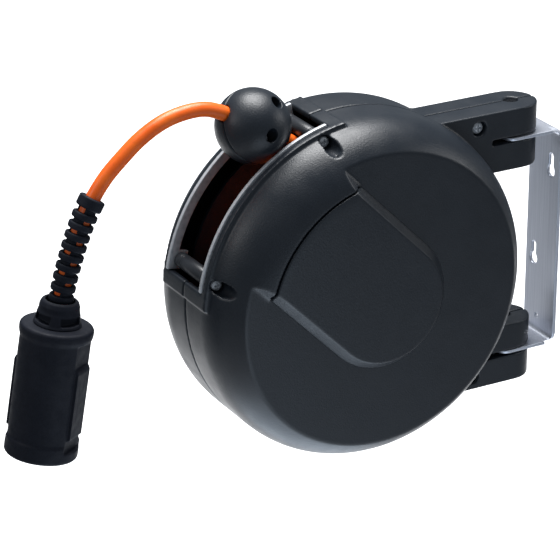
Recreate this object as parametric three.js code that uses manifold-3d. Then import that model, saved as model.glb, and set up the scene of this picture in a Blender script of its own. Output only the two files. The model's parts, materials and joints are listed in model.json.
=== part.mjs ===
// Wall-mounted, spring-retracting extension cord reel. Millimetres, +Z up.
//
// The origin is the centre of the wall plate's back face and +X points into the wall. The reel's
// disc stands on edge at negative X with its front face towards -Y. Y = 0 is the middle plane: the
// two casing shells part there, and the cord, the pivot pins and the ball lie in it.

import * as THREE from 'three';
import { mergeVertices } from 'three/addons/utils/BufferGeometryUtils.js';
import Module from 'manifold-3d';

const wasm = await Module();
wasm.setup();

// Driving dimensions

const GAP = 0.3;
const DEG = Math.PI / 180;

const PIVOT_X = -34;
const REEL_X = -172;

const CASING = {
  radius: 125, halfDepth: 63.8, shoulder: 41.5, wall: 3, faceY: -55.8, segments: 64, shoulderSteps: 6,
};
const CASING_FLAT_R = CASING.radius - CASING.shoulder;
const CASING_RIM_Y = CASING.halfDepth - CASING.shoulder;
const CASING_INNER_Y = CASING.halfDepth - CASING.wall;

const PANEL = {
  turn: 45 * DEG, baseHalf: 50, topHalf: 43, arcR: 91, tongueR: 92, wall: 2.5, roundSegments: 40,
};

const ARM = {
  halfWidth: 19, bottom: 60.5, top: 106.5, rootX: 50, pocketX: 62.5, wall: 3.5, slotMid: 83.5,
  slotHalf: 2.3, slotEnd: 27,
};
const ARM_SCREW = {
  x: -72, z: 96.5, headR: 4.6, headH: 2.8, shankR: 2.3, headY: -14, tipY: 12, recessR: 5.5, bossR: 7,
};

const BRACKET = { thickness: 2.5, halfWidth: 19, bendR: 3.5, flangeMid: 83, flangeEndX: -48, cornerR: 8 };
const KEYHOLES = [{ y: -8.5, z: 48.7 }, { y: 9.3, z: -26 }];
const KEYHOLE = { holeR: 4.5, slotR: 2.6, rise: 11 };

const PIN_R = 5;

const MOUTH = {
  from: 102.6 * DEG, to: 170.8 * DEG, halfWidth: 26, frameFrom: 97.5 * DEG, frameTo: 176 * DEG,
  frameR: 127.3, frameHalf: 32,
};
const RAIL = {
  innerR: 114.5, outerR: 128.5, innerY: 22.7, outerY: 25.7, from: 102.9 * DEG, to: 170.5 * DEG,
};
const ROLLER = {
  axisR: 119.5, radius: 5.5, halfLength: 22.2, angles: { upper: 106.3 * DEG, lower: 167 * DEG },
};
const ROLLER_SCREW = {
  headR: 4.2, headH: 2.6, shankR: 2.2, seatY: -28.5, tipY: 34, pocketR: 5.2, bossR: 7.5, bossY: 45,
};

const CORD_R = 5.25;
const CORD_ANGLE = 30 * DEG;
const OUTER_TURN_R = 71.4;
const LAYERS = 4;
const TURNS_WIDE = 6;
const WINDING_HALF = TURNS_WIDE * CORD_R + 0.15;
const WINDING_OUTER_R = OUTER_TURN_R + CORD_R + 0.15;
const WINDING_INNER_R = OUTER_TURN_R - (LAYERS - 1) * 2 * CORD_R - CORD_R;
const INNER_CORD_START = 40;

const BALL = { radius: 26.4, boreR: 6.1, distance: 123.8, roll: 31 * DEG };
const BALL_SCREW = {
  headR: 3.2, headH: 2.2, shankR: 1.6, length: 23, offset: 12, recessR: 4.4, seatY: -12.5, holeEndY: 12,
};

const HUB_R = WINDING_INNER_R - GAP;
const FLANGE = { radius: 104, thickness: 2.6 };
const FLANGE_Y = WINDING_HALF + GAP;
const FLANGE_OUTER_Y = FLANGE_Y + FLANGE.thickness;
const SPINDLE_R = 8;
const SPINDLE_FRONT_Y = -60.6;
const SPINDLE_BOSS = { radius: 14, from: 57 };
const BUSH = { radius: 11, from: 17.5, to: 29.8 };
const ARBOR = { radius: 13.2, from: -50, to: -35 };

const SPRING_CASE = { radius: 88, backY: -37.2, rimY: -49.3, coverY: -51.2, wall: 2, eye: 14.5 };
const SPRING = { innerR: 13.6, outerR: 85, turns: 5, stepsPerTurn: 16, thickness: 1.1, margin: 0.6 };

const RATCHET = { teeth: 20, tipR: 62, rootR: 57, boreR: 40, phase: 0.12, y: [35.2, 39.6] };
const PAWL = {
  pivotX: 30, pivotZ: -71, reach: 31, y: [35.4, 39.4], pinR: 3, hubR: 7, bossR: 6, bossFrom: 44,
};

const RING = { innerR: 24.3, outerR: 26.4, halfWidth: 2, centres: [38.6, 45.2, 51.8] };
const RING_NAMES = ['live', 'neutral', 'earth'];
const CARRIER = { boreR: 9.5, landR: 24, collarR: 28, from: 30.3, collarFrom: 35, to: 55.4 };
const BRUSH = { halfWidth: 3, halfLength: 1.5, top: 36 };
const BRUSH_HOLDER = { halfWidth: 8, from: 35.6, bottom: 29.5, top: 39, pocketTop: 37 };

const GLAND = {
  x: 48, z: -52, bodyR: 9, flangeR: 13.5, boreR: 5.6, flangeH: 3, threadH: 9, tailH: 6,
};
const GLAND_CAP = { radius: 12.5, crownR: 10, shoulderH: 11, height: 15 };
const GLAND_NUT = { acrossCorners: 26, height: 5 };

const CONNECTOR = { bodyR: 25.3, waistR: 23.8, length: 94, tilt: 9.7 * DEG, rimH: 7, boreR: 6.2 };
const NECK = { baseR: 16.6, waistR: 14.6, collarR: 14, topR: 11.6, height: 17 };
const NECK_WINDOW = { count: 4, turn: 12, depthR: 11.9, halfWidth: 7.6, from: 2.3, to: 7.7 };
const GRIP = { turn: -51, planeX: 21.6, halfWidth: 12, bottom: 8, top: 8.5 };
const GRIP_PAD = { planeX: 24.2, halfWidth: 9.5, bottom: 17, top: 28 };
const FACE = { radius: 19.7, inset: 1, depth: 18, slotDepth: 3 };

// Centreline of the free cord from the ball to the connector's neck: [X, Z] from the reel's centre.
const CORD_ROUTE = [
  [-95, 137.3], [-108.5, 142.2], [-124, 142.3], [-140, 138.6], [-156, 130.3], [-170, 119.3],
  [-183.5, 106.5], [-195, 90.5], [-203.5, 73], [-210.5, 54], [-215.9, 36.5], [-219.2, 22], [-221.4, 10],
  [-223, 1],
];
const CORD_STEPS = 22;
const CORD_SIDES = 10;
const PROTECTOR = { from: 0.59, to: 0.955, radius: 8.8, steps: 10 };
const CONNECTOR_TOP = [-221.4, 10];

// Colours and finishes

function finish(color, roughness, metalness) {
  return new THREE.MeshStandardMaterial({ color, roughness, metalness });
}

const MATERIALS = {
  casing: finish(0x23272e, 0.5, 0),
  rubber: finish(0x1d2129, 0.75, 0),
  stainless: finish(0xb8bcc4, 0.35, 1),
  zinc: finish(0x9a9da1, 0.4, 1),
  cord: finish(0xf26411, 0.5, 0),
  nylon: finish(0xd8d4c8, 0.6, 0),
  springSteel: finish(0x4c5360, 0.35, 1),
  copper: finish(0xb87840, 0.35, 1),
  brass: finish(0xc2a04c, 0.35, 1),
  carbon: finish(0x2b2b2d, 0.8, 0),
};

// Solid helpers

function solid(geometry) {
  const plain = geometry.clone();
  plain.deleteAttribute('normal');
  plain.deleteAttribute('uv');
  const merged = mergeVertices(plain, 1e-4);
  const index = merged.index.array;
  const triVerts = [];
  for (let i = 0; i < index.length; i += 3) {
    const [a, b, c] = [index[i], index[i + 1], index[i + 2]];
    if (a !== b && b !== c && c !== a) {
      triVerts.push(a, b, c);
    }
  }
  return new wasm.Manifold(new wasm.Mesh({
    numProp: 3,
    vertProperties: Float32Array.from(merged.attributes.position.array),
    triVerts: Uint32Array.from(triVerts),
  }));
}

function geometryOf(body) {
  const mesh = body.getMesh();
  const geometry = new THREE.BufferGeometry();
  geometry.setAttribute('position', new THREE.BufferAttribute(mesh.vertProperties, 3));
  geometry.setIndex(new THREE.BufferAttribute(mesh.triVerts, 1));
  geometry.computeVertexNormals();
  return geometry;
}

function part(parent, name, body, material) {
  const mesh = new THREE.Mesh(geometryOf(body), material);
  mesh.name = name;
  parent.add(mesh);
  return mesh;
}

function box(x, y, z) {
  const geometry = new THREE.BoxGeometry(x[1] - x[0], y[1] - y[0], z[1] - z[0]);
  geometry.translate((x[0] + x[1]) / 2, (y[0] + y[1]) / 2, (z[0] + z[1]) / 2);
  return solid(geometry);
}

// A profile of [radius, y] points, outer side upwards, turned about the Y axis.
function turned(profile, segments) {
  const points = profile.map(([radius, y]) => new THREE.Vector2(radius, y));
  points.push(points[0].clone());
  return solid(new THREE.LatheGeometry(points, segments));
}

function tube(innerR, outerR, low, high, segments) {
  return turned([[innerR, low], [outerR, low], [outerR, high], [innerR, high]], segments);
}

function rod(radius, low, high, segments) {
  return tube(0, radius, low, high, segments);
}

const PRISM_AXES = {
  x: [[0, 1, 0], [0, 0, 1], [1, 0, 0]],
  y: [[1, 0, 0], [0, 0, 1], [0, -1, 0]],
  z: [[1, 0, 0], [0, 1, 0], [0, 0, 1]],
};

// A flat outline in the plane across an axis (YZ, XZ or XY), extruded from low to high along it.
function prism(shape, axis, low, high, curveSegments = 12) {
  const settings = { depth: high - low, bevelEnabled: false, curveSegments };
  const geometry = new THREE.ExtrudeGeometry(shape, settings);
  const [u, v, w] = PRISM_AXES[axis].map((entry) => new THREE.Vector3(...entry));
  geometry.applyMatrix4(new THREE.Matrix4().makeBasis(u, v, w));
  const start = axis === 'y' ? high : low;
  geometry.translate(axis === 'x' ? start : 0, axis === 'y' ? start : 0, axis === 'z' ? start : 0);
  return solid(geometry);
}

function polygon(points) {
  return new THREE.Shape(points.map(([u, v]) => new THREE.Vector2(u, v)));
}

function circle(u, v, radius) {
  const shape = new THREE.Shape();
  shape.absarc(u, v, radius, 0, 2 * Math.PI);
  return shape;
}

// A piece of a ring in the XZ plane, between two angles measured from +X towards +Z.
function ringSector(innerR, outerR, from, to) {
  const shape = new THREE.Shape();
  shape.absarc(0, 0, outerR, from, to, false);
  shape.absarc(0, 0, innerR, to, from, true);
  return shape;
}

function rectangle(uLow, uHigh, vLow, vHigh) {
  return polygon([[uLow, vLow], [uHigh, vLow], [uHigh, vHigh], [uLow, vHigh]]);
}

function moved(body, x, y, z) {
  return body.translate([x, y, z]);
}

function alongZ(body) {
  return body.rotate([90, 0, 0]);
}

// Seen from the head: head below y = 0 with a cross recess, shank above it.
function screw({ headR, headH, shankR }, length) {
  const blank = turned([
    [0, -headH], [headR * 0.7, -headH], [headR, -headH * 0.45], [headR, 0], [shankR, 0],
    [shankR, length], [0, length],
  ], 12);
  const slotLength = headR * 0.6;
  const slotWidth = headR * 0.12;
  const depth = [-headH - 1, -headH * 0.5];
  return blank
    .subtract(box([-slotLength, slotLength], depth, [-slotWidth, slotWidth]))
    .subtract(box([-slotWidth, slotWidth], depth, [-slotLength, slotLength]));
}

// Wall bracket and pivot pins

function keyholeCut({ y, z }) {
  const { holeR, slotR, rise } = KEYHOLE;
  const depth = [-BRACKET.thickness - 1, 1];
  const hole = prism(circle(y, z, holeR), 'x', ...depth, 10);
  const slotEnd = prism(circle(y, z + rise, slotR), 'x', ...depth, 8);
  return hole.add(slotEnd).add(box(depth, [y - slotR, y + slotR], [z, z + rise]));
}

function bracketSection() {
  const outerZ = BRACKET.flangeMid + BRACKET.thickness / 2;
  const innerX = -BRACKET.thickness;
  const innerZ = BRACKET.flangeMid - BRACKET.thickness / 2;
  const outerR = BRACKET.bendR + BRACKET.thickness;
  const shape = new THREE.Shape();
  shape.moveTo(BRACKET.flangeEndX, -outerZ);
  shape.lineTo(-outerR, -outerZ);
  shape.absarc(-outerR, -outerZ + outerR, outerR, -90 * DEG, 0, false);
  shape.absarc(-outerR, outerZ - outerR, outerR, 0, 90 * DEG, false);
  shape.lineTo(BRACKET.flangeEndX, outerZ);
  shape.lineTo(BRACKET.flangeEndX, innerZ);
  shape.absarc(innerX - BRACKET.bendR, innerZ - BRACKET.bendR, BRACKET.bendR, 90 * DEG, 0, true);
  shape.absarc(innerX - BRACKET.bendR, -innerZ + BRACKET.bendR, BRACKET.bendR, 0, -90 * DEG, true);
  shape.lineTo(BRACKET.flangeEndX, -innerZ);
  return shape;
}

function flangeOutline() {
  const { halfWidth, flangeEndX, cornerR } = BRACKET;
  const shape = new THREE.Shape();
  shape.moveTo(1, -halfWidth);
  shape.lineTo(1, halfWidth);
  shape.absarc(flangeEndX + cornerR, halfWidth - cornerR, cornerR, 90 * DEG, 180 * DEG, false);
  shape.absarc(flangeEndX + cornerR, -halfWidth + cornerR, cornerR, 180 * DEG, 270 * DEG, false);
  return shape;
}

// The square relief at a bend's corner, which leaves the plate's own corner rounded.
function cornerRelief(sideY, sideZ) {
  const notch = { depth: 9, width: 7, plateZ: 77 };
  const outerY = BRACKET.halfWidth + 1;
  const innerY = BRACKET.halfWidth - notch.width;
  const outerZ = BRACKET.flangeMid + BRACKET.thickness;
  const square = rectangle(innerY, outerY, notch.plateZ, outerZ);
  const cut = prism(square, 'x', -notch.depth, 1)
    .subtract(prism(circle(innerY, notch.plateZ, notch.width), 'x', -notch.depth - 1, 2, 8));
  return cut.scale([1, sideY, sideZ]);
}

function wallBracket() {
  const lockHole = { y: 3, z: -70, radius: 2 };
  const outerZ = BRACKET.flangeMid + BRACKET.thickness;
  let body = prism(bracketSection(), 'y', -BRACKET.halfWidth, BRACKET.halfWidth, 4)
    .intersect(prism(flangeOutline(), 'z', -outerZ, outerZ, 5));
  for (const sideY of [-1, 1]) {
    for (const sideZ of [-1, 1]) {
      body = body.subtract(cornerRelief(sideY, sideZ));
    }
  }
  for (const place of KEYHOLES) {
    body = body.subtract(keyholeCut(place));
  }
  const lock = prism(circle(lockHole.y, lockHole.z, lockHole.radius), 'x', -BRACKET.thickness - 1, 1, 6);
  const pinHoles = moved(alongZ(rod(PIN_R + GAP, -outerZ, outerZ, 24)), PIVOT_X, 0, 0);
  return body.subtract(lock).subtract(pinHoles);
}

// The pins drop into the arms from above: a recess of 4 mm over each and a 3.5 mm floor under it.
const PIN_RECESS = 4;
const PIN_FLOOR = 3.5;
const ARM_TOPS = { upper: ARM.top, lower: -ARM.bottom };
const ARM_BOTTOMS = { upper: ARM.bottom, lower: -ARM.top };

function pivotPin(which) {
  const top = ARM_TOPS[which] - PIN_RECESS;
  const bottom = ARM_BOTTOMS[which] + PIN_FLOOR + GAP;
  return moved(alongZ(rod(PIN_R, bottom, top, 24)), PIVOT_X, 0, 0);
}

// Casing

function domeProfile(inset, steps) {
  const radius = CASING.shoulder - inset;
  const lowerArc = [];
  for (let i = 0; i <= steps; i += 1) {
    const angle = (-90 + (90 * i) / steps) * DEG;
    lowerArc.push([CASING_FLAT_R + radius * Math.cos(angle), -CASING_RIM_Y + radius * Math.sin(angle)]);
  }
  const upperArc = lowerArc.map(([r, y]) => [r, -y]).reverse();
  return [[0, lowerArc[0][1]], ...lowerArc, ...upperArc, [0, upperArc.at(-1)[1]]];
}

// The raised band across the front: sloped sides, and a round end centred on the disc.
function raisedBand(inset, y, from) {
  const base = PANEL.baseHalf - inset;
  const top = PANEL.topHalf - inset;
  const trapezoid = polygon([[y.base, -base], [y.base, base], [y.top, top], [y.top, -top]]);
  const band = prism(trapezoid, 'x', -from, 0);
  const roundEnd = turned([[0, y.top], [top, y.top], [base, y.base], [0, y.base]], PANEL.roundSegments);
  return band.add(roundEnd).rotate([0, PANEL.turn / DEG, 0]);
}

function fullBand(inset) {
  return raisedBand(inset, { base: CASING.faceY + inset, top: -CASING.halfDepth + inset }, CASING.radius);
}

function dome() {
  return turned(domeProfile(0, CASING.shoulderSteps), CASING.segments);
}

function beyondFront(y) {
  const reach = CASING.radius + 5;
  return box([-reach, reach], [-CASING.halfDepth - 5, y], [-reach, reach]);
}

function armOutline() {
  const shape = new THREE.Shape();
  const pivot = PIVOT_X - REEL_X;
  shape.moveTo(ARM.rootX, -ARM.halfWidth);
  shape.lineTo(pivot, -ARM.halfWidth);
  shape.absarc(pivot, 0, ARM.halfWidth, -90 * DEG, 90 * DEG, false);
  shape.lineTo(ARM.rootX, ARM.halfWidth);
  return shape;
}

function arms() {
  const upper = prism(armOutline(), 'z', ARM.bottom, ARM.top, 8);
  return upper.add(upper.scale([1, 1, -1]));
}

// The hollow, the bracket's slot and the screw hole of one arm.
function oneArmCuts(sign) {
  const pivot = PIVOT_X - REEL_X;
  const slotX = pivot - ARM.slotEnd;
  const side = ARM.halfWidth + 1;
  const pocketY = ARM.halfWidth - ARM.wall;
  const place = [ARM_SCREW.x - REEL_X, 0, sign * ARM_SCREW.z];
  const middle = sign * ARM.slotMid;
  const low = Math.min(sign * ARM.bottom, sign * ARM.top) + ARM.wall;
  const high = Math.max(sign * ARM.bottom, sign * ARM.top) - ARM.wall;
  const slot = box([slotX, pivot + side], [-side, side], [middle - ARM.slotHalf, middle + ARM.slotHalf]);
  const pocket = box([ARM.pocketX, slotX - ARM.wall], [-pocketY, pocketY], [low, high])
    .subtract(moved(rod(ARM_SCREW.bossR, -side, side, 16), ...place));
  const recess = moved(rod(ARM_SCREW.recessR, -side, ARM_SCREW.headY, 20), ...place);
  const shank = moved(rod(ARM_SCREW.shankR + GAP, -side, ARM_SCREW.tipY + 1, 16), ...place);
  return slot.add(pocket).add(recess).add(shank);
}

function armCuts() {
  let cuts = oneArmCuts(1).add(oneArmCuts(-1));
  for (const which of ['upper', 'lower']) {
    const hole = alongZ(rod(PIN_R + GAP, ARM_BOTTOMS[which] + PIN_FLOOR, ARM_TOPS[which] + 1, 24));
    cuts = cuts.add(moved(hole, PIVOT_X - REEL_X, 0, 0));
  }
  return cuts;
}

function rollerPlace(which) {
  const angle = ROLLER.angles[which];
  return [ROLLER.axisR * Math.cos(angle), ROLLER.axisR * Math.sin(angle)];
}

function atRoller(body, which) {
  const [x, z] = rollerPlace(which);
  return moved(body, x, 0, z);
}

// The raised frame around the cord mouth.
function mouthFrame() {
  const sector = ringSector(CASING.radius - CASING.wall, MOUTH.frameR, MOUTH.frameFrom, MOUTH.frameTo);
  return prism(sector, 'y', -MOUTH.frameHalf, MOUTH.frameHalf, 10);
}

function mouthCuts() {
  const opening = ringSector(RAIL.innerR - 4, MOUTH.frameR + 8, MOUTH.from, MOUTH.to);
  let cuts = prism(opening, 'y', -MOUTH.halfWidth, MOUTH.halfWidth, 10);
  for (const which of ['upper', 'lower']) {
    const pocket = rod(ROLLER_SCREW.pocketR, -CASING.halfDepth, ROLLER_SCREW.seatY, 20);
    const shank = rod(ROLLER_SCREW.shankR + GAP, ROLLER_SCREW.seatY - 1, ROLLER_SCREW.tipY + 1, 16);
    cuts = cuts.add(atRoller(pocket, which)).add(atRoller(shank, which));
  }
  return cuts;
}

function rollerBosses(outerDome) {
  let bosses = null;
  for (const which of ['upper', 'lower']) {
    const boss = atRoller(rod(ROLLER_SCREW.bossR, -ROLLER_SCREW.bossY, ROLLER_SCREW.bossY, 20), which);
    bosses = bosses ? bosses.add(boss) : boss;
  }
  return bosses.intersect(outerDome);
}

function innerBosses() {
  const end = CASING_INNER_Y + 1;
  const spindleBoss = tube(SPINDLE_R + GAP, SPINDLE_BOSS.radius, SPINDLE_BOSS.from, end, 24);
  const pawlBoss = tube(PAWL.pinR + GAP, PAWL.bossR, PAWL.bossFrom, end, 16);
  return spindleBoss.add(moved(pawlBoss, PAWL.pivotX, 0, PAWL.pivotZ));
}

function casingShells() {
  const outerDome = dome();
  const frontCut = beyondFront(CASING.faceY);
  const tongue = fullBand(0).intersect(outerDome)
    .subtract(rod(PANEL.tongueR, -CASING.radius, 0, CASING.segments));
  const innerDome = turned(domeProfile(CASING.wall, CASING.shoulderSteps - 1), CASING.segments);
  const tongueHollow = fullBand(CASING.wall).intersect(innerDome)
    .subtract(rod(PANEL.tongueR + CASING.wall, -CASING.radius, 0, CASING.segments));
  const cavity = innerDome.subtract(beyondFront(CASING.faceY + CASING.wall)).add(tongueHollow);
  const glandBore = rod(GLAND.bodyR + GAP, CASING_INNER_Y - 1, CASING.halfDepth + 1, 24);
  const glandHole = moved(glandBore, GLAND.x, 0, GLAND.z);
  const spindleHole = rod(SPINDLE_R + GAP, -CASING.halfDepth, CASING.halfDepth + 1, 24);
  const body = outerDome.subtract(frontCut).add(tongue).add(arms()).add(mouthFrame())
    .subtract(cavity)
    .add(rollerBosses(outerDome))
    .add(innerBosses())
    .subtract(armCuts())
    .subtract(mouthCuts())
    .subtract(glandHole)
    .subtract(spindleHole);
  const reach = 200;
  const front = box([-reach, reach], [-reach, -GAP / 2], [-reach, reach]);
  const rear = box([-reach, reach], [GAP / 2, reach], [-reach, reach]);
  return { front: body.intersect(front), rear: body.intersect(rear) };
}

function frontPanel() {
  const innerY = { base: CASING.faceY, top: -CASING.halfDepth + PANEL.wall };
  const outer = fullBand(0).intersect(dome())
    .intersect(rod(PANEL.arcR, -CASING.radius, CASING.faceY - GAP, CASING.segments));
  const inner = raisedBand(PANEL.wall, innerY, CASING.radius)
    .intersect(rod(PANEL.arcR - PANEL.wall, -CASING.radius, 0, CASING.segments));
  return outer.subtract(inner);
}

// Cord mouth

function guardRail(sign) {
  const sector = ringSector(RAIL.innerR, RAIL.outerR, RAIL.from, RAIL.to);
  let rail = prism(sector, 'y', RAIL.innerY, RAIL.outerY, 10);
  for (const which of ['upper', 'lower']) {
    rail = rail.subtract(atRoller(rod(ROLLER_SCREW.shankR + GAP, 0, ROLLER_SCREW.bossY, 16), which));
  }
  return rail.scale([1, sign, 1]);
}

function mouthPieces(parent) {
  part(parent, 'front_guard_rail', guardRail(-1), MATERIALS.zinc);
  part(parent, 'rear_guard_rail', guardRail(1), MATERIALS.zinc);
  const boreR = ROLLER_SCREW.shankR + GAP;
  const roller = tube(boreR, ROLLER.radius, -ROLLER.halfLength, ROLLER.halfLength, 20);
  const loose = screw(ROLLER_SCREW, ROLLER_SCREW.tipY - ROLLER_SCREW.seatY);
  const axle = moved(loose, 0, ROLLER_SCREW.seatY - GAP, 0);
  for (const which of ['upper', 'lower']) {
    part(parent, `${which}_roller`, atRoller(roller, which), MATERIALS.rubber);
    part(parent, `${which}_roller_screw`, atRoller(axle, which), MATERIALS.zinc);
  }
}

// Drum, spindle and slip rings

function drumHub() {
  const boss = { outer: 14, inner: 11.3, y: 30 };
  const web = 2;
  const sleeve = 3;
  return turned([
    [boss.inner, -boss.y], [boss.outer, -boss.y], [boss.outer, -web], [HUB_R - sleeve, -web],
    [HUB_R - sleeve, -FLANGE_OUTER_Y], [HUB_R, -FLANGE_OUTER_Y], [HUB_R, FLANGE_OUTER_Y],
    [HUB_R - sleeve, FLANGE_OUTER_Y], [HUB_R - sleeve, web], [boss.outer, web], [boss.outer, boss.y],
    [boss.inner, boss.y],
  ], 28);
}

function drumFlange(sign) {
  const flange = tube(HUB_R + GAP, FLANGE.radius, FLANGE_Y, FLANGE_OUTER_Y, 40);
  return flange.scale([1, sign, 1]);
}

function springCase() {
  const { radius, backY, rimY, wall, eye } = SPRING_CASE;
  return turned([
    [eye, backY], [radius - wall, backY], [radius - wall, rimY], [radius, rimY],
    [radius, backY + wall], [eye, backY + wall],
  ], 32);
}

// A strip wound from the arbor out to the case wall.
function powerSpring() {
  const steps = SPRING.turns * SPRING.stepsPerTurn;
  const lastR = SPRING.outerR - SPRING.thickness;
  const side = (offset) => Array.from({ length: steps + 1 }, (_, i) => {
    const angle = (2 * Math.PI * i) / SPRING.stepsPerTurn;
    const radius = THREE.MathUtils.lerp(SPRING.innerR, lastR, i / steps) + offset;
    return [radius * Math.cos(angle), radius * Math.sin(angle)];
  });
  const outline = [...side(SPRING.thickness), ...side(0).reverse()];
  return prism(polygon(outline), 'y', SPRING_CASE.rimY + SPRING.margin, SPRING_CASE.backY - SPRING.margin);
}

function ratchetWheel() {
  const pitch = (2 * Math.PI) / RATCHET.teeth;
  const corners = [[RATCHET.rootR, 0], [RATCHET.tipR, 0.3], [RATCHET.tipR, 0.6]];
  const points = [];
  for (let i = 0; i < RATCHET.teeth; i += 1) {
    for (const [radius, share] of corners) {
      const angle = -90 * DEG + (i + RATCHET.phase + share) * pitch;
      points.push([radius * Math.cos(angle), radius * Math.sin(angle)]);
    }
  }
  return prism(polygon(points), 'y', ...RATCHET.y).subtract(rod(RATCHET.boreR, 0, CASING_INNER_Y, 32));
}

// A lever lying along X under the ratchet wheel, its tip clear of the teeth at rest.
function pawl() {
  const { pivotX, pivotZ, reach, pinR, hubR } = PAWL;
  const tip = { length: 7, top: 7, bottom: 1, root: 3 };
  const shape = new THREE.Shape();
  shape.moveTo(pivotX - reach, pivotZ + tip.top);
  shape.lineTo(pivotX - reach, pivotZ + tip.bottom);
  shape.lineTo(pivotX, pivotZ - hubR);
  shape.absarc(pivotX, pivotZ, hubR, -90 * DEG, 90 * DEG, false);
  shape.lineTo(pivotX - reach + tip.length, pivotZ + tip.root);
  const hole = moved(rod(pinR + GAP, 0, CASING_INNER_Y, 20), pivotX, 0, pivotZ);
  return prism(shape, 'y', ...PAWL.y, 6).subtract(hole);
}

// A bent leaf under the pawl that pushes it back to rest. Its line is measured from the pivot.
function pawlSpring() {
  const leaf = [[-25, -2.6], [-14, -6.2], [-8, -10.5], [12, -10.5]];
  const thickness = 0.8;
  const upper = leaf.map(([x, z]) => [PAWL.pivotX + x, PAWL.pivotZ + z]);
  const lower = upper.map(([x, z]) => [x, z - thickness]).reverse();
  return prism(polygon([...upper, ...lower]), 'y', ...PAWL.y);
}

function ringCarrier() {
  const { boreR, landR, collarR, from, collarFrom, to } = CARRIER;
  const half = RING.halfWidth + GAP;
  const profile = [[boreR, from], [landR, from], [landR, collarFrom], [collarR, collarFrom]];
  for (const centre of RING.centres) {
    profile.push([collarR, centre - half], [landR, centre - half]);
    profile.push([landR, centre + half], [collarR, centre + half]);
  }
  profile.push([collarR, to], [boreR, to]);
  return turned(profile, 20);
}

function slipRing(centre) {
  return tube(RING.innerR, RING.outerR, centre - RING.halfWidth, centre + RING.halfWidth, 20);
}

function brushHolder() {
  const { halfWidth, from, bottom, top, pocketTop } = BRUSH_HOLDER;
  const halfX = BRUSH.halfWidth + GAP;
  const halfY = BRUSH.halfLength + GAP;
  let holder = box([-halfWidth, halfWidth], [from, CASING_INNER_Y - GAP], [bottom, top]);
  for (const centre of RING.centres) {
    const pocket = box([-halfX, halfX], [centre - halfY, centre + halfY], [bottom - 1, pocketTop]);
    holder = holder.subtract(pocket);
  }
  return holder;
}

function brush(centre) {
  return box(
    [-BRUSH.halfWidth, BRUSH.halfWidth],
    [centre - BRUSH.halfLength, centre + BRUSH.halfLength],
    [RING.outerR + GAP, BRUSH.top],
  );
}

function hexNut(acrossCorners, boreR, low, high) {
  const nut = rod(acrossCorners / 2, low, high, 6);
  return nut.subtract(rod(boreR, low - 1, high + 1, 16));
}

function drumPieces(parent) {
  const boreR = SPINDLE_R + GAP;
  const bush = tube(boreR, BUSH.radius, BUSH.from, BUSH.to, 16);
  const winding = tube(WINDING_INNER_R, WINDING_OUTER_R, -WINDING_HALF, WINDING_HALF, 36);
  const coverY = [SPRING_CASE.coverY, SPRING_CASE.rimY - GAP];
  const cover = tube(SPRING_CASE.eye, SPRING_CASE.radius, ...coverY, 32);
  const spindle = rod(SPINDLE_R, SPINDLE_FRONT_Y, CASING.halfDepth - GAP, 24);
  const nut = hexNut(24, boreR, SPINDLE_FRONT_Y, CASING.faceY - GAP);
  part(parent, 'spindle', spindle, MATERIALS.zinc);
  part(parent, 'spindle_nut', nut, MATERIALS.zinc);
  part(parent, 'spring_arbor', tube(boreR, ARBOR.radius, ARBOR.from, ARBOR.to, 16), MATERIALS.springSteel);
  part(parent, 'drum_hub', drumHub(), MATERIALS.casing);
  part(parent, 'drum_front_flange', drumFlange(-1), MATERIALS.casing);
  part(parent, 'drum_rear_flange', drumFlange(1), MATERIALS.casing);
  part(parent, 'front_bush', bush.scale([1, -1, 1]), MATERIALS.nylon);
  part(parent, 'rear_bush', bush, MATERIALS.nylon);
  part(parent, 'cord_winding', winding, MATERIALS.cord);
  part(parent, 'spring_case', springCase(), MATERIALS.springSteel);
  part(parent, 'spring_cover', cover, MATERIALS.springSteel);
  part(parent, 'power_spring', powerSpring(), MATERIALS.springSteel);
  part(parent, 'ratchet_wheel', ratchetWheel(), MATERIALS.nylon);
  part(parent, 'pawl', pawl(), MATERIALS.zinc);
  const pin = rod(PAWL.pinR, PAWL.y[0], CASING_INNER_Y - 0.5, 16);
  part(parent, 'pawl_pin', moved(pin, PAWL.pivotX, 0, PAWL.pivotZ), MATERIALS.zinc);
  part(parent, 'pawl_spring', pawlSpring(), MATERIALS.springSteel);
  part(parent, 'slip_ring_carrier', ringCarrier(), MATERIALS.nylon);
  part(parent, 'brush_holder', brushHolder(), MATERIALS.nylon);
  RING_NAMES.forEach((name, i) => {
    part(parent, `${name}_slip_ring`, slipRing(RING.centres[i]), MATERIALS.copper);
    part(parent, `${name}_brush`, brush(RING.centres[i]), MATERIALS.carbon);
  });
}

// Supply inlet at the back

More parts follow.
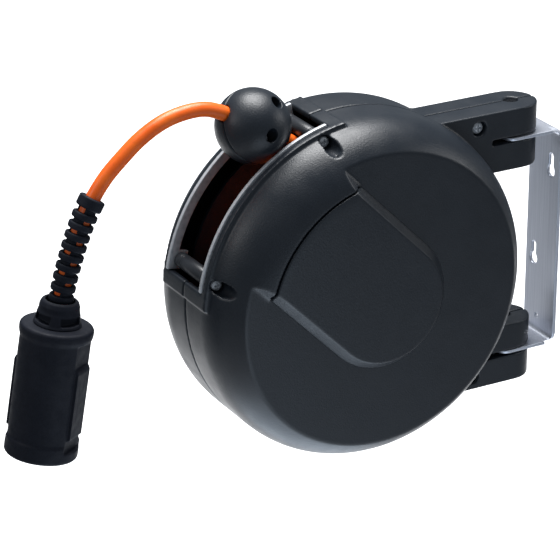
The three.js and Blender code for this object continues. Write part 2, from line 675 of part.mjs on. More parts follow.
function inletPieces(parent) {
  const { boreR, bodyR, flangeR, flangeH, threadH, tailH } = GLAND;
  const outside = CASING.halfDepth + GAP;
  const inside = CASING_INNER_Y - GAP;
  const body = turned([
    [boreR, inside - tailH], [bodyR, inside - tailH], [bodyR, outside], [flangeR, outside],
    [flangeR, outside + flangeH], [bodyR, outside + flangeH], [bodyR, outside + threadH],
    [boreR, outside + threadH],
  ], 16);
  const cap = turned([
    [bodyR + GAP, outside + flangeH + GAP], [GLAND_CAP.radius, outside + flangeH + GAP],
    [GLAND_CAP.radius, outside + GLAND_CAP.shoulderH], [GLAND_CAP.crownR, outside + GLAND_CAP.height],
    [boreR, outside + GLAND_CAP.height], [boreR, outside + threadH + GAP],
    [bodyR + GAP, outside + threadH + GAP],
  ], 16);
  const nut = hexNut(GLAND_NUT.acrossCorners, bodyR + GAP, inside - GLAND_NUT.height, inside);
  part(parent, 'inlet_gland', moved(body, GLAND.x, 0, GLAND.z), MATERIALS.rubber);
  part(parent, 'inlet_gland_cap', moved(cap, GLAND.x, 0, GLAND.z), MATERIALS.rubber);
  part(parent, 'inlet_gland_nut', moved(nut, GLAND.x, 0, GLAND.z), MATERIALS.rubber);
}

// Ball stopper. In the ball's own frame the cord runs along X and the screws along Y.

const CORD_DIRECTION = new THREE.Vector3(-Math.cos(CORD_ANGLE), 0, Math.sin(CORD_ANGLE));
const CORD_NORMAL = new THREE.Vector3(Math.sin(CORD_ANGLE), 0, Math.cos(CORD_ANGLE));

function onCordLine(distance) {
  return CORD_NORMAL.clone().multiplyScalar(OUTER_TURN_R).addScaledVector(CORD_DIRECTION, distance);
}

function ballHalf(sign) {
  const { offset, recessR, shankR, seatY, holeEndY } = BALL_SCREW;
  const sphere = solid(new THREE.SphereGeometry(BALL.radius, 28, 18));
  const reach = BALL.radius + 1;
  const bore = rod(BALL.boreR, -reach, reach, 16).rotate([0, 0, 90]);
  let half = sphere.subtract(bore);
  for (const z of [-offset, offset]) {
    half = half
      .subtract(moved(rod(recessR, -reach, seatY, 18), 0, 0, z))
      .subtract(moved(rod(shankR + GAP, seatY - 1, holeEndY, 12), 0, 0, z));
  }
  const keep = sign < 0 ? [-reach, -GAP / 2] : [GAP / 2, reach];
  return half.intersect(box([-reach, reach], keep, [-reach, reach]));
}

function ballPieces(parent) {
  const ball = new THREE.Group();
  const centre = onCordLine(BALL.distance);
  const screwAxis = new THREE.Vector3(0, Math.cos(BALL.roll), 0)
    .addScaledVector(CORD_NORMAL, -Math.sin(BALL.roll));
  const across = new THREE.Vector3().crossVectors(CORD_DIRECTION, screwAxis);
  ball.quaternion.setFromRotationMatrix(new THREE.Matrix4().makeBasis(CORD_DIRECTION, screwAxis, across));
  ball.position.copy(centre);
  part(ball, 'ball_front_half', ballHalf(-1), MATERIALS.casing);
  part(ball, 'ball_rear_half', ballHalf(1), MATERIALS.casing);
  const fixing = moved(screw(BALL_SCREW, BALL_SCREW.length), 0, BALL_SCREW.seatY - GAP, 0);
  part(ball, 'ball_screw_upper', moved(fixing, 0, 0, -BALL_SCREW.offset), MATERIALS.zinc);
  part(ball, 'ball_screw_lower', moved(fixing, 0, 0, BALL_SCREW.offset), MATERIALS.zinc);
  parent.add(ball);
}

// Free cord, bend protector and connector

function cordTube(curve, radius, steps) {
  const section = polygon(Array.from({ length: CORD_SIDES }, (_, i) => {
    const angle = (2 * Math.PI * i) / CORD_SIDES;
    return [radius * Math.cos(angle), radius * Math.sin(angle)];
  }));
  return solid(new THREE.ExtrudeGeometry(section, { extrudePath: curve, steps, bevelEnabled: false }));
}

function freeCordCurve() {
  const start = onCordLine(BALL.distance + 0.2);
  const points = CORD_ROUTE.map(([x, z]) => new THREE.Vector3(x, 0, z));
  return new THREE.CatmullRomCurve3([start, ...points]);
}

// The part of a curve between two fractions of its length.
function stretch(curve, from, to, steps) {
  const share = (i) => THREE.MathUtils.lerp(from, to, i / steps);
  const points = Array.from({ length: steps + 1 }, (_, i) => curve.getPointAt(share(i)));
  return new THREE.CatmullRomCurve3(points);
}

function bendProtector(curve) {
  const { from, to, radius, steps } = PROTECTOR;
  const sleeve = cordTube(stretch(curve, from, to, steps), radius, steps);
  return sleeve.subtract(cordTube(curve, CORD_R + GAP, CORD_STEPS));
}

// The connector's own frame has its body's top face at z = 0 and the body hanging below.
function connectorNeck() {
  const base = GAP;
  const boreR = PROTECTOR.radius + 1.4;
  const profile = [
    [boreR, base], [NECK.baseR, base], [NECK.waistR, base + NECK.height / 2],
    [NECK.collarR, base + NECK.height - 4], [NECK.topR, base + NECK.height], [boreR, base + NECK.height],
  ];
  const { count, turn, depthR, halfWidth, from, to } = NECK_WINDOW;
  const window = box([depthR, NECK.baseR + 1], [-halfWidth, halfWidth], [base + from, base + to]);
  let neck = alongZ(turned(profile, 24));
  for (let i = 0; i < count; i += 1) {
    neck = neck.subtract(window.rotate([0, 0, (360 * i) / count + turn]));
  }
  return neck;
}

// Two opposite sides are flat, each with a raised pad.
function connectorBody() {
  const { bodyR, waistR, length, rimH, boreR } = CONNECTOR;
  const core = { radius: 20, top: 26, faceR: bodyR - 3, faceDepth: 6 };
  const foot = { height: 12, chamfer: 2 };
  const profile = [
    [boreR, 0], [boreR, core.radius], [core.radius, core.top], [core.radius, length - core.faceDepth],
    [core.faceR, length - core.faceDepth], [core.faceR, length], [bodyR - 1, length],
    [bodyR, length - foot.chamfer], [bodyR, length - foot.height],
    [waistR, length - foot.height - foot.chamfer], [waistR, rimH + foot.chamfer], [bodyR, rimH],
    [bodyR, foot.chamfer], [bodyR - foot.chamfer, 0],
  ];
  const side = [-GRIP.halfWidth, GRIP.halfWidth];
  const padSide = [-GRIP_PAD.halfWidth, GRIP_PAD.halfWidth];
  const flat = box([GRIP.planeX, bodyR + 1], side, [GRIP.bottom - length, -GRIP.top]);
  const pad = box([core.radius + 1, GRIP_PAD.planeX], padSide, [GRIP_PAD.bottom - length, -GRIP_PAD.top]);
  let body = alongZ(turned(profile.map(([r, depth]) => [r, -depth]), 28));
  for (const turn of [GRIP.turn, GRIP.turn + 180]) {
    body = body.subtract(flat.rotate([0, 0, turn])).add(pad.rotate([0, 0, turn]));
  }
  return body;
}

const CONTACTS = {
  live: { x: -7.5, y: 0 },
  neutral: { x: 7.5, y: 0 },
  earth: { x: 0, y: 10.5 },
};

function socketSlot({ x, y }, extra, low, high) {
  const half = { x: 1.1 + extra, y: 3.6 + extra };
  return box([x - half.x, x + half.x], [y - half.y, y + half.y], [low, high]);
}

function connectorFace() {
  const bottom = FACE.inset - CONNECTOR.length;
  const widening = bottom + FACE.slotDepth;
  let face = alongZ(rod(FACE.radius, bottom, bottom + FACE.depth, 32));
  for (const place of Object.values(CONTACTS)) {
    face = face.subtract(socketSlot(place, 0, bottom - 1, widening));
    face = face.subtract(socketSlot(place, 0.9, widening - 1, bottom + FACE.depth + 1));
  }
  return face;
}

function contact(place) {
  const low = -CONNECTOR.length + 5;
  return socketSlot(place, 0.6, low, low + 12).subtract(socketSlot(place, 0, low - 1, low + 9));
}

function cordEnd(parent) {
  const straight = new THREE.LineCurve3(onCordLine(INNER_CORD_START), onCordLine(BALL.distance - 0.2));
  part(parent, 'inner_cord', cordTube(straight, CORD_R, 4), MATERIALS.cord);
  const curve = freeCordCurve();
  part(parent, 'free_cord', cordTube(curve, CORD_R, CORD_STEPS), MATERIALS.cord);
  part(parent, 'bend_protector', bendProtector(curve), MATERIALS.rubber);
  ballPieces(parent);
  const connector = new THREE.Group();
  connector.position.set(CONNECTOR_TOP[0], 0, CONNECTOR_TOP[1]);
  connector.rotation.y = CONNECTOR.tilt;
  part(connector, 'connector_neck', connectorNeck(), MATERIALS.rubber);
  part(connector, 'connector_body', connectorBody(), MATERIALS.rubber);
  part(connector, 'connector_face', connectorFace(), MATERIALS.rubber);
  for (const [name, place] of Object.entries(CONTACTS)) {
    part(connector, `${name}_contact`, contact(place), MATERIALS.brass);
  }
  parent.add(connector);
}

// Assembly

function reelPieces(parent) {
  const shells = casingShells();
  part(parent, 'front_shell', shells.front, MATERIALS.casing);
  part(parent, 'rear_shell', shells.rear, MATERIALS.casing);
  part(parent, 'front_panel', frontPanel(), MATERIALS.casing);
  mouthPieces(parent);
  drumPieces(parent);
  inletPieces(parent);
  cordEnd(parent);
}

const object = new THREE.Group();
const reel = new THREE.Group();
reel.position.x = REEL_X;
reelPieces(reel);
object.add(reel);

part(object, 'wall_bracket', wallBracket(), MATERIALS.stainless);
const armScrew = screw(ARM_SCREW, ARM_SCREW.tipY - ARM_SCREW.headY);
for (const [which, sign] of [['upper', 1], ['lower', -1]]) {
  const fixing = moved(armScrew, ARM_SCREW.x, ARM_SCREW.headY - GAP, sign * ARM_SCREW.z);
  part(object, `${which}_pivot_pin`, pivotPin(which), MATERIALS.zinc);
  part(object, `${which}_arm_screw`, fixing, MATERIALS.zinc);
}

export default object;
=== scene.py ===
import json
import math

import bmesh
import bpy
from mathutils import Matrix, Vector
from mathutils.geometry import interpolate_bezier

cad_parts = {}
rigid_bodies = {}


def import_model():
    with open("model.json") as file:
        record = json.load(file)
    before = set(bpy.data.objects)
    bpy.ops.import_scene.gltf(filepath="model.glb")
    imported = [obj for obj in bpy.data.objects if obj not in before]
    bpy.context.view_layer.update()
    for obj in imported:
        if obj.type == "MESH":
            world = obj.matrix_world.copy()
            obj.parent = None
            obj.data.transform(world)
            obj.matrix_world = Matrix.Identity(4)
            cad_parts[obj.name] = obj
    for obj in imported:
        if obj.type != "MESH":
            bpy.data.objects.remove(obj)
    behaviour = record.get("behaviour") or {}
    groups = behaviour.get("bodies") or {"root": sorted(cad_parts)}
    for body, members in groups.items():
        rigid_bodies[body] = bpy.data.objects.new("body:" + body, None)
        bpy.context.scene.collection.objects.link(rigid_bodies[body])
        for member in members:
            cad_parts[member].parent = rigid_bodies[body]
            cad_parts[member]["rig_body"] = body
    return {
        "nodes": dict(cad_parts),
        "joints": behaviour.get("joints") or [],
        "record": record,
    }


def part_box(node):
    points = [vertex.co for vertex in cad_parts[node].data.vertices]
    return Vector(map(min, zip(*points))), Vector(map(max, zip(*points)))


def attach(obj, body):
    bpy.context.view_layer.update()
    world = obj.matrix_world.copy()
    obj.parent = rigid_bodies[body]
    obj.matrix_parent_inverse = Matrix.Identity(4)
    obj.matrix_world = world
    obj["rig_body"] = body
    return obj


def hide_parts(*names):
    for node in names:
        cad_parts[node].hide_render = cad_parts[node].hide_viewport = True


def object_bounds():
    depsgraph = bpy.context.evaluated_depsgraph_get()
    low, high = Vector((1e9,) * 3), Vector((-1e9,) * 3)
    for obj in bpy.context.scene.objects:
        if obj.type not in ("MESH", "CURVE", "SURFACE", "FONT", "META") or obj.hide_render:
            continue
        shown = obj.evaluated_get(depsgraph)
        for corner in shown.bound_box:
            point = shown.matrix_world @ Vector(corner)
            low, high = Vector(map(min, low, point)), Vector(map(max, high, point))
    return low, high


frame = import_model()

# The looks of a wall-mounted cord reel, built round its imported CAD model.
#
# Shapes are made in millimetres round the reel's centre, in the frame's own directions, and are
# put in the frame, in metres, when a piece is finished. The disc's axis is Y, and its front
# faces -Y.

CAD_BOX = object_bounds()
SCENE = bpy.context.scene
SCENE.view_settings.view_transform = "Standard"


# Places taken from the frame


def joint_place(name):
    return Vector(next(j for j in frame["joints"] if j["name"] == name)["pos_m"])


REEL = joint_place("drum_spin")
TO_FRAME = Matrix.Translation(REEL) @ Matrix.Scale(0.001, 4)


def in_reel(point):
    """A point of the frame, in millimetres from the reel's centre."""
    return (Vector(point) - REEL) * 1000


def box_in_reel(node):
    low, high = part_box(node)
    return in_reel(low), in_reel(high)


PIVOT_X = in_reel(joint_place("casing_swivel")).x
CASING_R = -box_in_reel("front_shell")[0].z
HALF_DEPTH = box_in_reel("rear_shell")[1].y

# Camera

# Angles in degrees, places in metres from the reel's centre, lens and sensor in millimetres.
VIEW = {"azimuth": -29.29, "elevation": 23.28, "distance": 1.9961, "right": -0.0440, "up": -0.0046,
        "lens": 181.7, "sensor": 36}


def outward(azimuth, elevation):
    """The direction from a thing to whatever stands at an azimuth and elevation, in degrees."""
    a, e = math.radians(azimuth), math.radians(elevation)
    return Vector((math.sin(a) * math.cos(e), -math.cos(a) * math.cos(e), math.sin(e)))


def add_camera():
    back = outward(VIEW["azimuth"], VIEW["elevation"])
    azimuth = math.radians(VIEW["azimuth"])
    right = Vector((math.cos(azimuth), math.sin(azimuth), 0))
    up = back.cross(right)
    data = bpy.data.cameras.new("camera")
    data.lens = VIEW["lens"]
    data.sensor_width = VIEW["sensor"]
    camera = bpy.data.objects.new("camera", data)
    SCENE.collection.objects.link(camera)
    camera.location = REEL + right * VIEW["right"] + up * VIEW["up"] + back * VIEW["distance"]
    camera.rotation_euler = (-back).to_track_quat("-Z", "Y").to_euler()
    SCENE.camera = camera


add_camera()

# Materials


class Look:
    """A material under construction, with short calls for the nodes that all of them use."""

    def __init__(self, name):
        self.name = name
        self.material = bpy.data.materials.new(name)
        self.material.use_nodes = True
        self.tree = self.material.node_tree
        self.shader = self.tree.nodes["Principled BSDF"]
        self.place = self.node("ShaderNodeTexCoord").outputs["Object"]

    def node(self, kind, **settings):
        made = self.tree.nodes.new(kind)
        for key, value in settings.items():
            setattr(made, key, value)
        return made

    def link(self, output, socket):
        self.tree.links.new(output, socket)

    def noise(self, scale, detail=3, stretch=None):
        """Noise with about `scale` spots per metre. stretch multiplies it along X, Y and Z."""
        made = self.node("ShaderNodeTexNoise")
        made.inputs["Scale"].default_value = scale
        made.inputs["Detail"].default_value = detail
        source = self.place
        if stretch:
            mapping = self.node("ShaderNodeMapping")
            mapping.inputs["Scale"].default_value = stretch
            self.link(source, mapping.inputs["Vector"])
            source = mapping.outputs["Vector"]
        self.link(source, made.inputs["Vector"])
        return made.outputs["Fac"]

    def range(self, source, low, high, start=0.3, end=0.7):
        """The source's values from start to end, spread from low to high."""
        made = self.node("ShaderNodeMapRange")
        limits = {"From Min": start, "From Max": end, "To Min": low, "To Max": high}
        for key, value in limits.items():
            made.inputs[key].default_value = value
        self.link(source, made.inputs["Value"])
        return made.outputs["Result"]

    def mix(self, share, first, second):
        """A colour between two; either may be a colour or a socket."""
        made = self.node("ShaderNodeMix", data_type="RGBA")
        self.link(share, made.inputs["Factor"])
        for value, socket in ((first, made.inputs[6]), (second, made.inputs[7])):
            if isinstance(value, tuple):
                socket.default_value = (*value, 1)
            else:
                self.link(value, socket)
        return made.outputs[2]

    def edges(self, start, end):
        """1 on worn convex edges and 0 elsewhere."""
        pointiness = self.node("ShaderNodeNewGeometry").outputs["Pointiness"]
        return self.range(pointiness, 0, 1, start, end)

    def color(self, source):
        self.link(source, self.shader.inputs["Base Color"])

    def rough(self, source, low, high):
        self.link(self.range(source, low, high), self.shader.inputs["Roughness"])

    def bump(self, *layers):
        """Layers of (height, depth in millimetres), the first at the bottom."""
        normal = None
        for source, depth in layers:
            made = self.node("ShaderNodeBump")
            made.inputs["Distance"].default_value = depth / 1000
            self.link(source, made.inputs["Height"])
            if normal:
                self.link(normal, made.inputs["Normal"])
            normal = made.outputs["Normal"]
        self.link(normal, self.shader.inputs["Normal"])

    def fixed(self, name, value):
        self.shader.inputs[name].default_value = value


# Spots of a plastic's grain in a metre, and how much brighter a metal is on its worn edges.
PLASTIC_GRAIN = 900
WORN = 1.15


def moulded_plastic(name, dark, light, rough, grain):
    """Injection-moulded plastic with a spark-eroded grain, faint flow marks and paler edges."""
    look = Look(name)
    flow = look.noise(14, 2)
    speckle = look.noise(PLASTIC_GRAIN * 1.3, 2)
    body = look.mix(look.range(speckle, 0, 1), dark, light)
    faded = tuple(min(1, c * 1.4 + 0.002) for c in light)
    body = look.mix(look.range(flow, 0, 0.25), body, faded)
    look.color(look.mix(look.edges(0.52, 0.66), body, faded))
    look.rough(look.noise(60, 4), rough - 0.05, rough + 0.06)
    coarse, fine = look.noise(PLASTIC_GRAIN, 2), look.noise(PLASTIC_GRAIN * 3, 1)
    look.bump((coarse, grain), (fine, grain * 0.3))
    return look


def rubber(name, dark, light):
    """Matt rubber with fine pores and a little dust in the grain."""
    look = Look(name)
    body = look.mix(look.range(look.noise(900, 3), 0, 1), dark, light)
    dust = look.range(look.noise(45, 6), 0, 0.12, 0.5, 0.75)
    look.color(look.mix(dust, body, (0.04, 0.045, 0.06)))
    look.rough(look.noise(160, 3), 0.56, 0.72)
    look.bump((look.noise(2200, 2), 0.04))
    look.fixed("Specular IOR Level", 0.22)
    return look


def cord_jacket(name):
    """Orange jacket: the cores' lay shows as faint waves, with scuffs and a soft gloss."""
    look = Look(name)
    tone = look.mix(look.range(look.noise(70, 3), 0, 1), (0.93, 0.125, 0.004), (1.0, 0.17, 0.010))
    scuff = look.range(look.noise(420, 5, (1, 1, 0.4)), 0, 0.35, 0.6, 0.75)
    look.color(look.mix(scuff, tone, (0.62, 0.10, 0.012)))
    look.rough(look.noise(200, 3), 0.34, 0.46)
    look.bump((look.noise(110, 1), 0.25), (look.noise(2600, 1), 0.02))
    look.fixed("Sheen Weight", 0.04)
    return look


def brushed_metal(name, dark, light, rough, metallic=1.0, along=(900, 900, 14)):
    """Rolled or brushed metal: long fine scratches, smudges and brighter edges."""
    look = Look(name)
    lines = look.noise(1, 4, along)
    smudge = look.noise(22, 4)
    body = look.mix(look.range(lines, 0, 1), dark, light)
    body = look.mix(look.range(smudge, 0, 0.3), body, dark)
    bright = tuple(min(1, c * WORN) for c in light)
    look.color(look.mix(look.edges(0.53, 0.7), body, bright))
    both = look.mix(look.range(smudge, 0.2, 0.6), (0.3, 0.3, 0.3), (0.7, 0.7, 0.7))
    look.rough(both, rough - 0.06, rough + 0.08)
    look.bump((lines, 0.02))
    look.fixed("Metallic", metallic)
    return look


def plated_metal(name, dark, light, rough, metallic=1.0):
    """Plated or drawn metal: soft crystal patches and fine pits."""
    look = Look(name)
    cells = look.node("ShaderNodeTexVoronoi")
    cells.inputs["Scale"].default_value = 260
    look.link(look.place, cells.inputs["Vector"])
    body = look.mix(look.range(cells.outputs["Distance"], 0, 1, 0, 0.6), dark, light)
    bright = tuple(min(1, c * WORN) for c in light)
    look.color(look.mix(look.edges(0.53, 0.7), body, bright))
    look.rough(look.noise(300, 4), rough - 0.06, rough + 0.08)
    look.bump((look.noise(1300, 3), 0.015))
    look.fixed("Metallic", metallic)
    return look


def all_looks():
    nylon = moulded_plastic("natural_nylon", (0.60, 0.57, 0.49), (0.70, 0.67, 0.60),
                            rough=0.48, grain=0.02)
    nylon.fixed("Subsurface Weight", 0.1)
    made = [
        moulded_plastic("casing_plastic", (0.006, 0.009, 0.014), (0.010, 0.0145, 0.0215),
                        rough=0.38, grain=0.13),
        moulded_plastic("roller_plastic", (0.014, 0.016, 0.02), (0.022, 0.025, 0.03),
                        rough=0.36, grain=0.02),
        nylon,
        rubber("black_rubber", (0.004, 0.0055, 0.011), (0.007, 0.0095, 0.018)),
        cord_jacket("orange_cord"),
        brushed_metal("stainless_steel", (0.60, 0.63, 0.71), (0.76, 0.79, 0.87),
                      rough=0.38, metallic=0.8),
        brushed_metal("spring_steel", (0.10, 0.12, 0.17), (0.20, 0.22, 0.28),
                      rough=0.3, along=(300, 14, 300)),
        plated_metal("zinc_steel", (0.42, 0.44, 0.47), (0.58, 0.60, 0.63),
                     rough=0.45, metallic=0.35),
        plated_metal("copper", (0.48, 0.19, 0.09), (0.62, 0.29, 0.15), rough=0.28),
        plated_metal("brass", (0.50, 0.33, 0.09), (0.68, 0.49, 0.18), rough=0.3),
        plated_metal("carbon", (0.018, 0.018, 0.02), (0.04, 0.04, 0.042), rough=0.6, metallic=0.0),
    ]
    return {look.name: look.material for look in made}


LOOKS = all_looks()

# Finishing a piece


def finish_piece(obj, name, slot, *nodes):
    """Names a piece, gives it its slot's material, and has it ride and stand for its CAD nodes."""
    obj.name = name
    obj.data.name = name
    obj.data.materials.clear()
    obj.data.materials.append(LOOKS[slot])
    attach(obj, frame["nodes"][nodes[0]]["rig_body"])
    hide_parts(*nodes)
    return obj


# Cords

# The cord leaves the drum's outer layer along a line that slopes up, away from the wall.
CORD_D = 10.5
CORD_SLOPE = math.radians(30)
OUTER_TURN_R = 71.4
ALONG = Vector((-math.cos(CORD_SLOPE), 0, math.sin(CORD_SLOPE)))
ACROSS = Vector((math.sin(CORD_SLOPE), 0, math.cos(CORD_SLOPE)))
BALL_DISTANCE = 123.8
STRAIGHT_PARTS = 4
# Centreline from the ball into the connector: (X, Z) from the reel's centre.
CORD_ROUTE = [
    (-95, 137.3), (-108.5, 142.2), (-124, 142.3), (-140, 138.6), (-156, 130.3), (-170, 119.3),
    (-183.5, 106.5), (-195, 90.5), (-203.5, 73), (-210.5, 54), (-215.9, 36.5), (-219.2, 22),
    (-221.4, 10), (-223, 1),
]


def on_cord_line(distance):
    """A point on the straight stretch, from where the cord leaves the drum."""
    return ACROSS * OUTER_TURN_R + ALONG * distance


STRAIGHT = [on_cord_line(BALL_DISTANCE * i / STRAIGHT_PARTS) for i in range(STRAIGHT_PARTS + 1)]
RUN = STRAIGHT + [Vector((x, 0, z)) for x, z in CORD_ROUTE]


def handles(points):
    """The two Bezier handles of each point, along the line between its neighbours."""
    made = []
    for i, point in enumerate(points):
        before, after = points[max(i - 1, 0)], points[min(i + 1, len(points) - 1)]
        course = (after - before).normalized()
        made.append((
            point - course * (point - before).length / 3,
            point + course * (after - point).length / 3,
        ))
    return made


def bezier_line(points, steps=8):
    """The same curve as a dense list of points."""
    sides = handles(points)
    line = [points[0]]
    for i in range(len(points) - 1):
        piece = points[i], sides[i][1], sides[i + 1][0], points[i + 1]
        line += interpolate_bezier(*piece, steps + 1)[1:]
    return line


def length_of(line):
    return sum((b - a).length for a, b in zip(line, line[1:]))


def cord_curve(name, resolution):
    """An empty curve as thick as the cord, and rounder at a higher resolution."""
    data = bpy.data.curves.new(name, "CURVE")
    data.dimensions = "3D"
    data.bevel_depth = CORD_D / 2 / 1000
    data.bevel_resolution = resolution
    data.use_fill_caps = True
    curve = bpy.data.objects.new(name, data)
    SCENE.collection.objects.link(curve)
    return curve


def free_run():
    """The cord from the drum, through the ball, to the connector."""
    curve = cord_curve("cord_run", resolution=7)
    spline = curve.data.splines.new("BEZIER")
    spline.bezier_points.add(len(RUN) - 1)
    for knot, point, (left, right) in zip(spline.bezier_points, RUN, handles(RUN)):
        knot.co = TO_FRAME @ point
        knot.handle_left = TO_FRAME @ left
        knot.handle_right = TO_FRAME @ right
    curve.data.resolution_u = 16
    return finish_piece(curve, "cord_run", "orange_cord", "free_cord", "inner_cord")


LAYERS, TURNS, OUTER_TURNS = 4, 6, 3
LAYER_R = [OUTER_TURN_R - CORD_D * i for i in reversed(range(LAYERS))]
TURN_Y = [CORD_D * (i - (TURNS - 1) / 2) for i in range(TURNS)]
# Degrees: where the cord leaves the drum, how far a step or a rise reaches, and how far the cord
# lies flat at its start, before its last step and at its end.
LEAVES_AT = 90 - math.degrees(CORD_SLOPE)
STEP_ZONE = 75
RISE_ZONE = 120
ZONE_APART = (STEP_ZONE + RISE_ZONE) / 2
FLAT_START, FLAT_BEFORE_LAST, FLAT_END = 300, 10, 5


def winding_keys():
    """(angle, radius, y) of the wound cord. A turn lies flat, then steps to the next place.

    All turns of a layer step at the same angle. A layer's last turn rises just before that angle.
    The next layer's first turn steps aside just before it comes round to the rise, so none cross.
    The last turn steps to the middle, where the straight stretch starts.
    """
    places = []
    for layer, radius in enumerate(LAYER_R):
        row = TURN_Y if layer % 2 == 0 else TURN_Y[::-1]
        if layer == len(LAYER_R) - 1:
            row = row[:OUTER_TURNS]
        places += [(layer, radius, y) for y in row]
    angle = -360.0
    rose = False
    keys = [(-FLAT_START, *places[0][1:])]
    for (layer, radius, y), (next_layer, next_radius, next_y) in zip(places, places[1:]):
        rises = next_layer != layer
        half = (RISE_ZONE if rises else STEP_ZONE) / 2
        angle += 360 - ZONE_APART if rises or rose else 360
        rose = rises
        keys += [(angle - half, radius, y), (angle + half, next_radius, next_y)]
    last = angle + 360 - STEP_ZONE - FLAT_BEFORE_LAST
    keys += [(last - STEP_ZONE / 2, *keys[-1][1:]), (last + STEP_ZONE / 2, keys[-1][1], 0.0)]
    end = keys[-1][0] + FLAT_END
    keys.append((end, keys[-1][1], 0.0))
    return [(at - end + LEAVES_AT, radius, y) for at, radius, y in keys]


def winding_line(step=6):
    """The wound cord's centreline, with a point every few degrees."""
    keys = winding_keys()
    count = round((keys[-1][0] - keys[0][0]) / step)
    line, at = [], 0
    for i in range(count + 1):
        angle = keys[0][0] + (keys[-1][0] - keys[0][0]) * i / count
        while at < len(keys) - 2 and angle > keys[at + 1][0]:
            at += 1
        (a, r0, y0), (b, r1, y1) = keys[at], keys[at + 1]
        share = (1 - math.cos(math.pi * min(1, (angle - a) / (b - a)))) / 2
        radius, y = r0 + (r1 - r0) * share, y0 + (y1 - y0) * share
        turn = math.radians(angle)
        line.append(Vector((radius * math.cos(turn), y, radius * math.sin(turn))))
    return line


def wound_cord(line):
    curve = cord_curve("wound_cord", resolution=4)
    spline = curve.data.splines.new("POLY")
    spline.points.add(len(line) - 1)
    for knot, point in zip(spline.points, line):
        knot.co = (*(TO_FRAME @ point), 1)
    return finish_piece(curve, "wound_cord", "orange_cord", "cord_winding")


cord_run = free_run()
WINDING = winding_line()
winding = wound_cord(WINDING)

# Solids: each call returns a temporary object, in millimetres round the reel's centre

AXES = {
    "x": lambda u, v, w: (w, u, v),
    "y": lambda u, v, w: (u, w, v),
    "z": lambda u, v, w: (u, v, w),
}
UPRIGHT = Matrix.Rotation(math.radians(90), 4, "X")


def solid(points, faces):
    work = bmesh.new()
    verts = [work.verts.new(p) for p in points]
    for face in faces:
        work.faces.new([verts[i] for i in face])
    bmesh.ops.recalc_face_normals(work, faces=work.faces)
    mesh = bpy.data.meshes.new("solid")
    work.to_mesh(mesh)
    work.free()
    obj = bpy.data.objects.new("solid", mesh)
    SCENE.collection.objects.link(obj)
    return obj


def lathe(profile, steps=96):
    """A closed outline of (radius, y) points turned about Y."""
    points, rings = [], []
    for radius, height in profile:
        count = steps if radius > 0 else 1
        rings.append([len(points) + i for i in range(count)])
        for i in range(count):
            angle = 2 * math.pi * i / steps
            points.append((radius * math.cos(angle), height, radius * math.sin(angle)))
    faces = []
    for lower, upper in zip(rings, rings[1:] + rings[:1]):
        for i in range(steps):
            j = (i + 1) % steps
            corners = (lower[i % len(lower)], lower[j % len(lower)],
                       upper[j % len(upper)], upper[i % len(upper)])
            face = list(dict.fromkeys(corners))
            if len(face) > 2:
                faces.append(face)
    return solid(points, faces)


def tube(inner, outer, low, high, steps=64):
    return lathe([(inner, low), (outer, low), (outer, high), (inner, high)], steps)


def rod(radius, low, high, steps=64):
    return tube(0, radius, low, high, steps)


def prism(outline, axis, low, high):
    """A flat outline in the YZ, XZ or XY plane, pulled from low to high along the third axis."""
    n = len(outline)
    points = [AXES[axis](u, v, w) for w in (low, high) for u, v in outline]
    sides = [(i, (i + 1) % n, n + (i + 1) % n, n + i) for i in range(n)]
    return solid(points, [tuple(range(n)), tuple(range(n, 2 * n)), *sides])


def block(x, y, z):
    return prism([(x[0], y[0]), (x[1], y[0]), (x[1], y[1]), (x[0], y[1])], "z", *z)


def arc(u, v, radius, start, end, steps=12):
    angles = [math.radians(start + (end - start) * i / steps) for i in range(steps + 1)]
    return [(u + radius * math.cos(a), v + radius * math.sin(a)) for a in angles]


def disc(u, v, radius, axis, low, high, steps=48):
    return prism(arc(u, v, radius, 0, 360, steps)[:-1], axis, low, high)


def upright(profile, steps=128):
    """A closed outline of (radius, z) points turned about Z."""
    return placed(lathe(profile, steps), UPRIGHT)


def sector(inner, outer, start, end, low, high, steps=72):
    """A piece of a ring round Y, between two angles from +X towards +Z."""
    outline = arc(0, 0, outer, start, end, steps) + arc(0, 0, inner, end, start, steps)
    return prism(outline, "y", low, high)


def moved(obj, x=0, y=0, z=0):
    obj.data.transform(Matrix.Translation((x, y, z)))
    return obj


def placed(obj, matrix):
    obj.data.transform(matrix)
    if matrix.determinant() < 0:
        obj.data.flip_normals()
    return obj


def settle(obj):
    """Applies the modifiers."""
    graph = bpy.context.evaluated_depsgraph_get()
    mesh = bpy.data.meshes.new_from_object(obj.evaluated_get(graph), depsgraph=graph)
    obj.modifiers.clear()
    obj.data = mesh
    return obj


def combine(operation, target, tools):
    for tool in tools:
        modifier = target.modifiers.new("combine", "BOOLEAN")
        modifier.operation = operation
        modifier.solver = "MANIFOLD"
        modifier.object = tool
    settle(target)
    for tool in tools:
        bpy.data.objects.remove(tool)
    return target


def cut(target, *tools):
    return combine("DIFFERENCE", target, tools)


def join(target, *tools):
    return combine("UNION", target, tools)


def meet(target, *tools):
    return combine("INTERSECT", target, tools)


def copy_of(obj):
    twin = obj.copy()
    twin.data = obj.data.copy()
    SCENE.collection.objects.link(twin)
    return twin


def mould(obj, voxel, faces, rounds=3):
    """Rounds every edge, as a moulding or a deburred part has them, by a fine even remesh."""
    remesh = obj.modifiers.new("remesh", "REMESH")
    remesh.mode = "VOXEL"
    remesh.voxel_size = voxel
    smooth = obj.modifiers.new("smooth", "SMOOTH")
    smooth.factor = 0.5
    smooth.iterations = rounds
    settle(obj)
    triangles = 2 * len(obj.data.polygons)
    if triangles > faces:
        thin = obj.modifiers.new("thin", "DECIMATE")
        thin.ratio = faces / triangles
        settle(obj)
    return obj


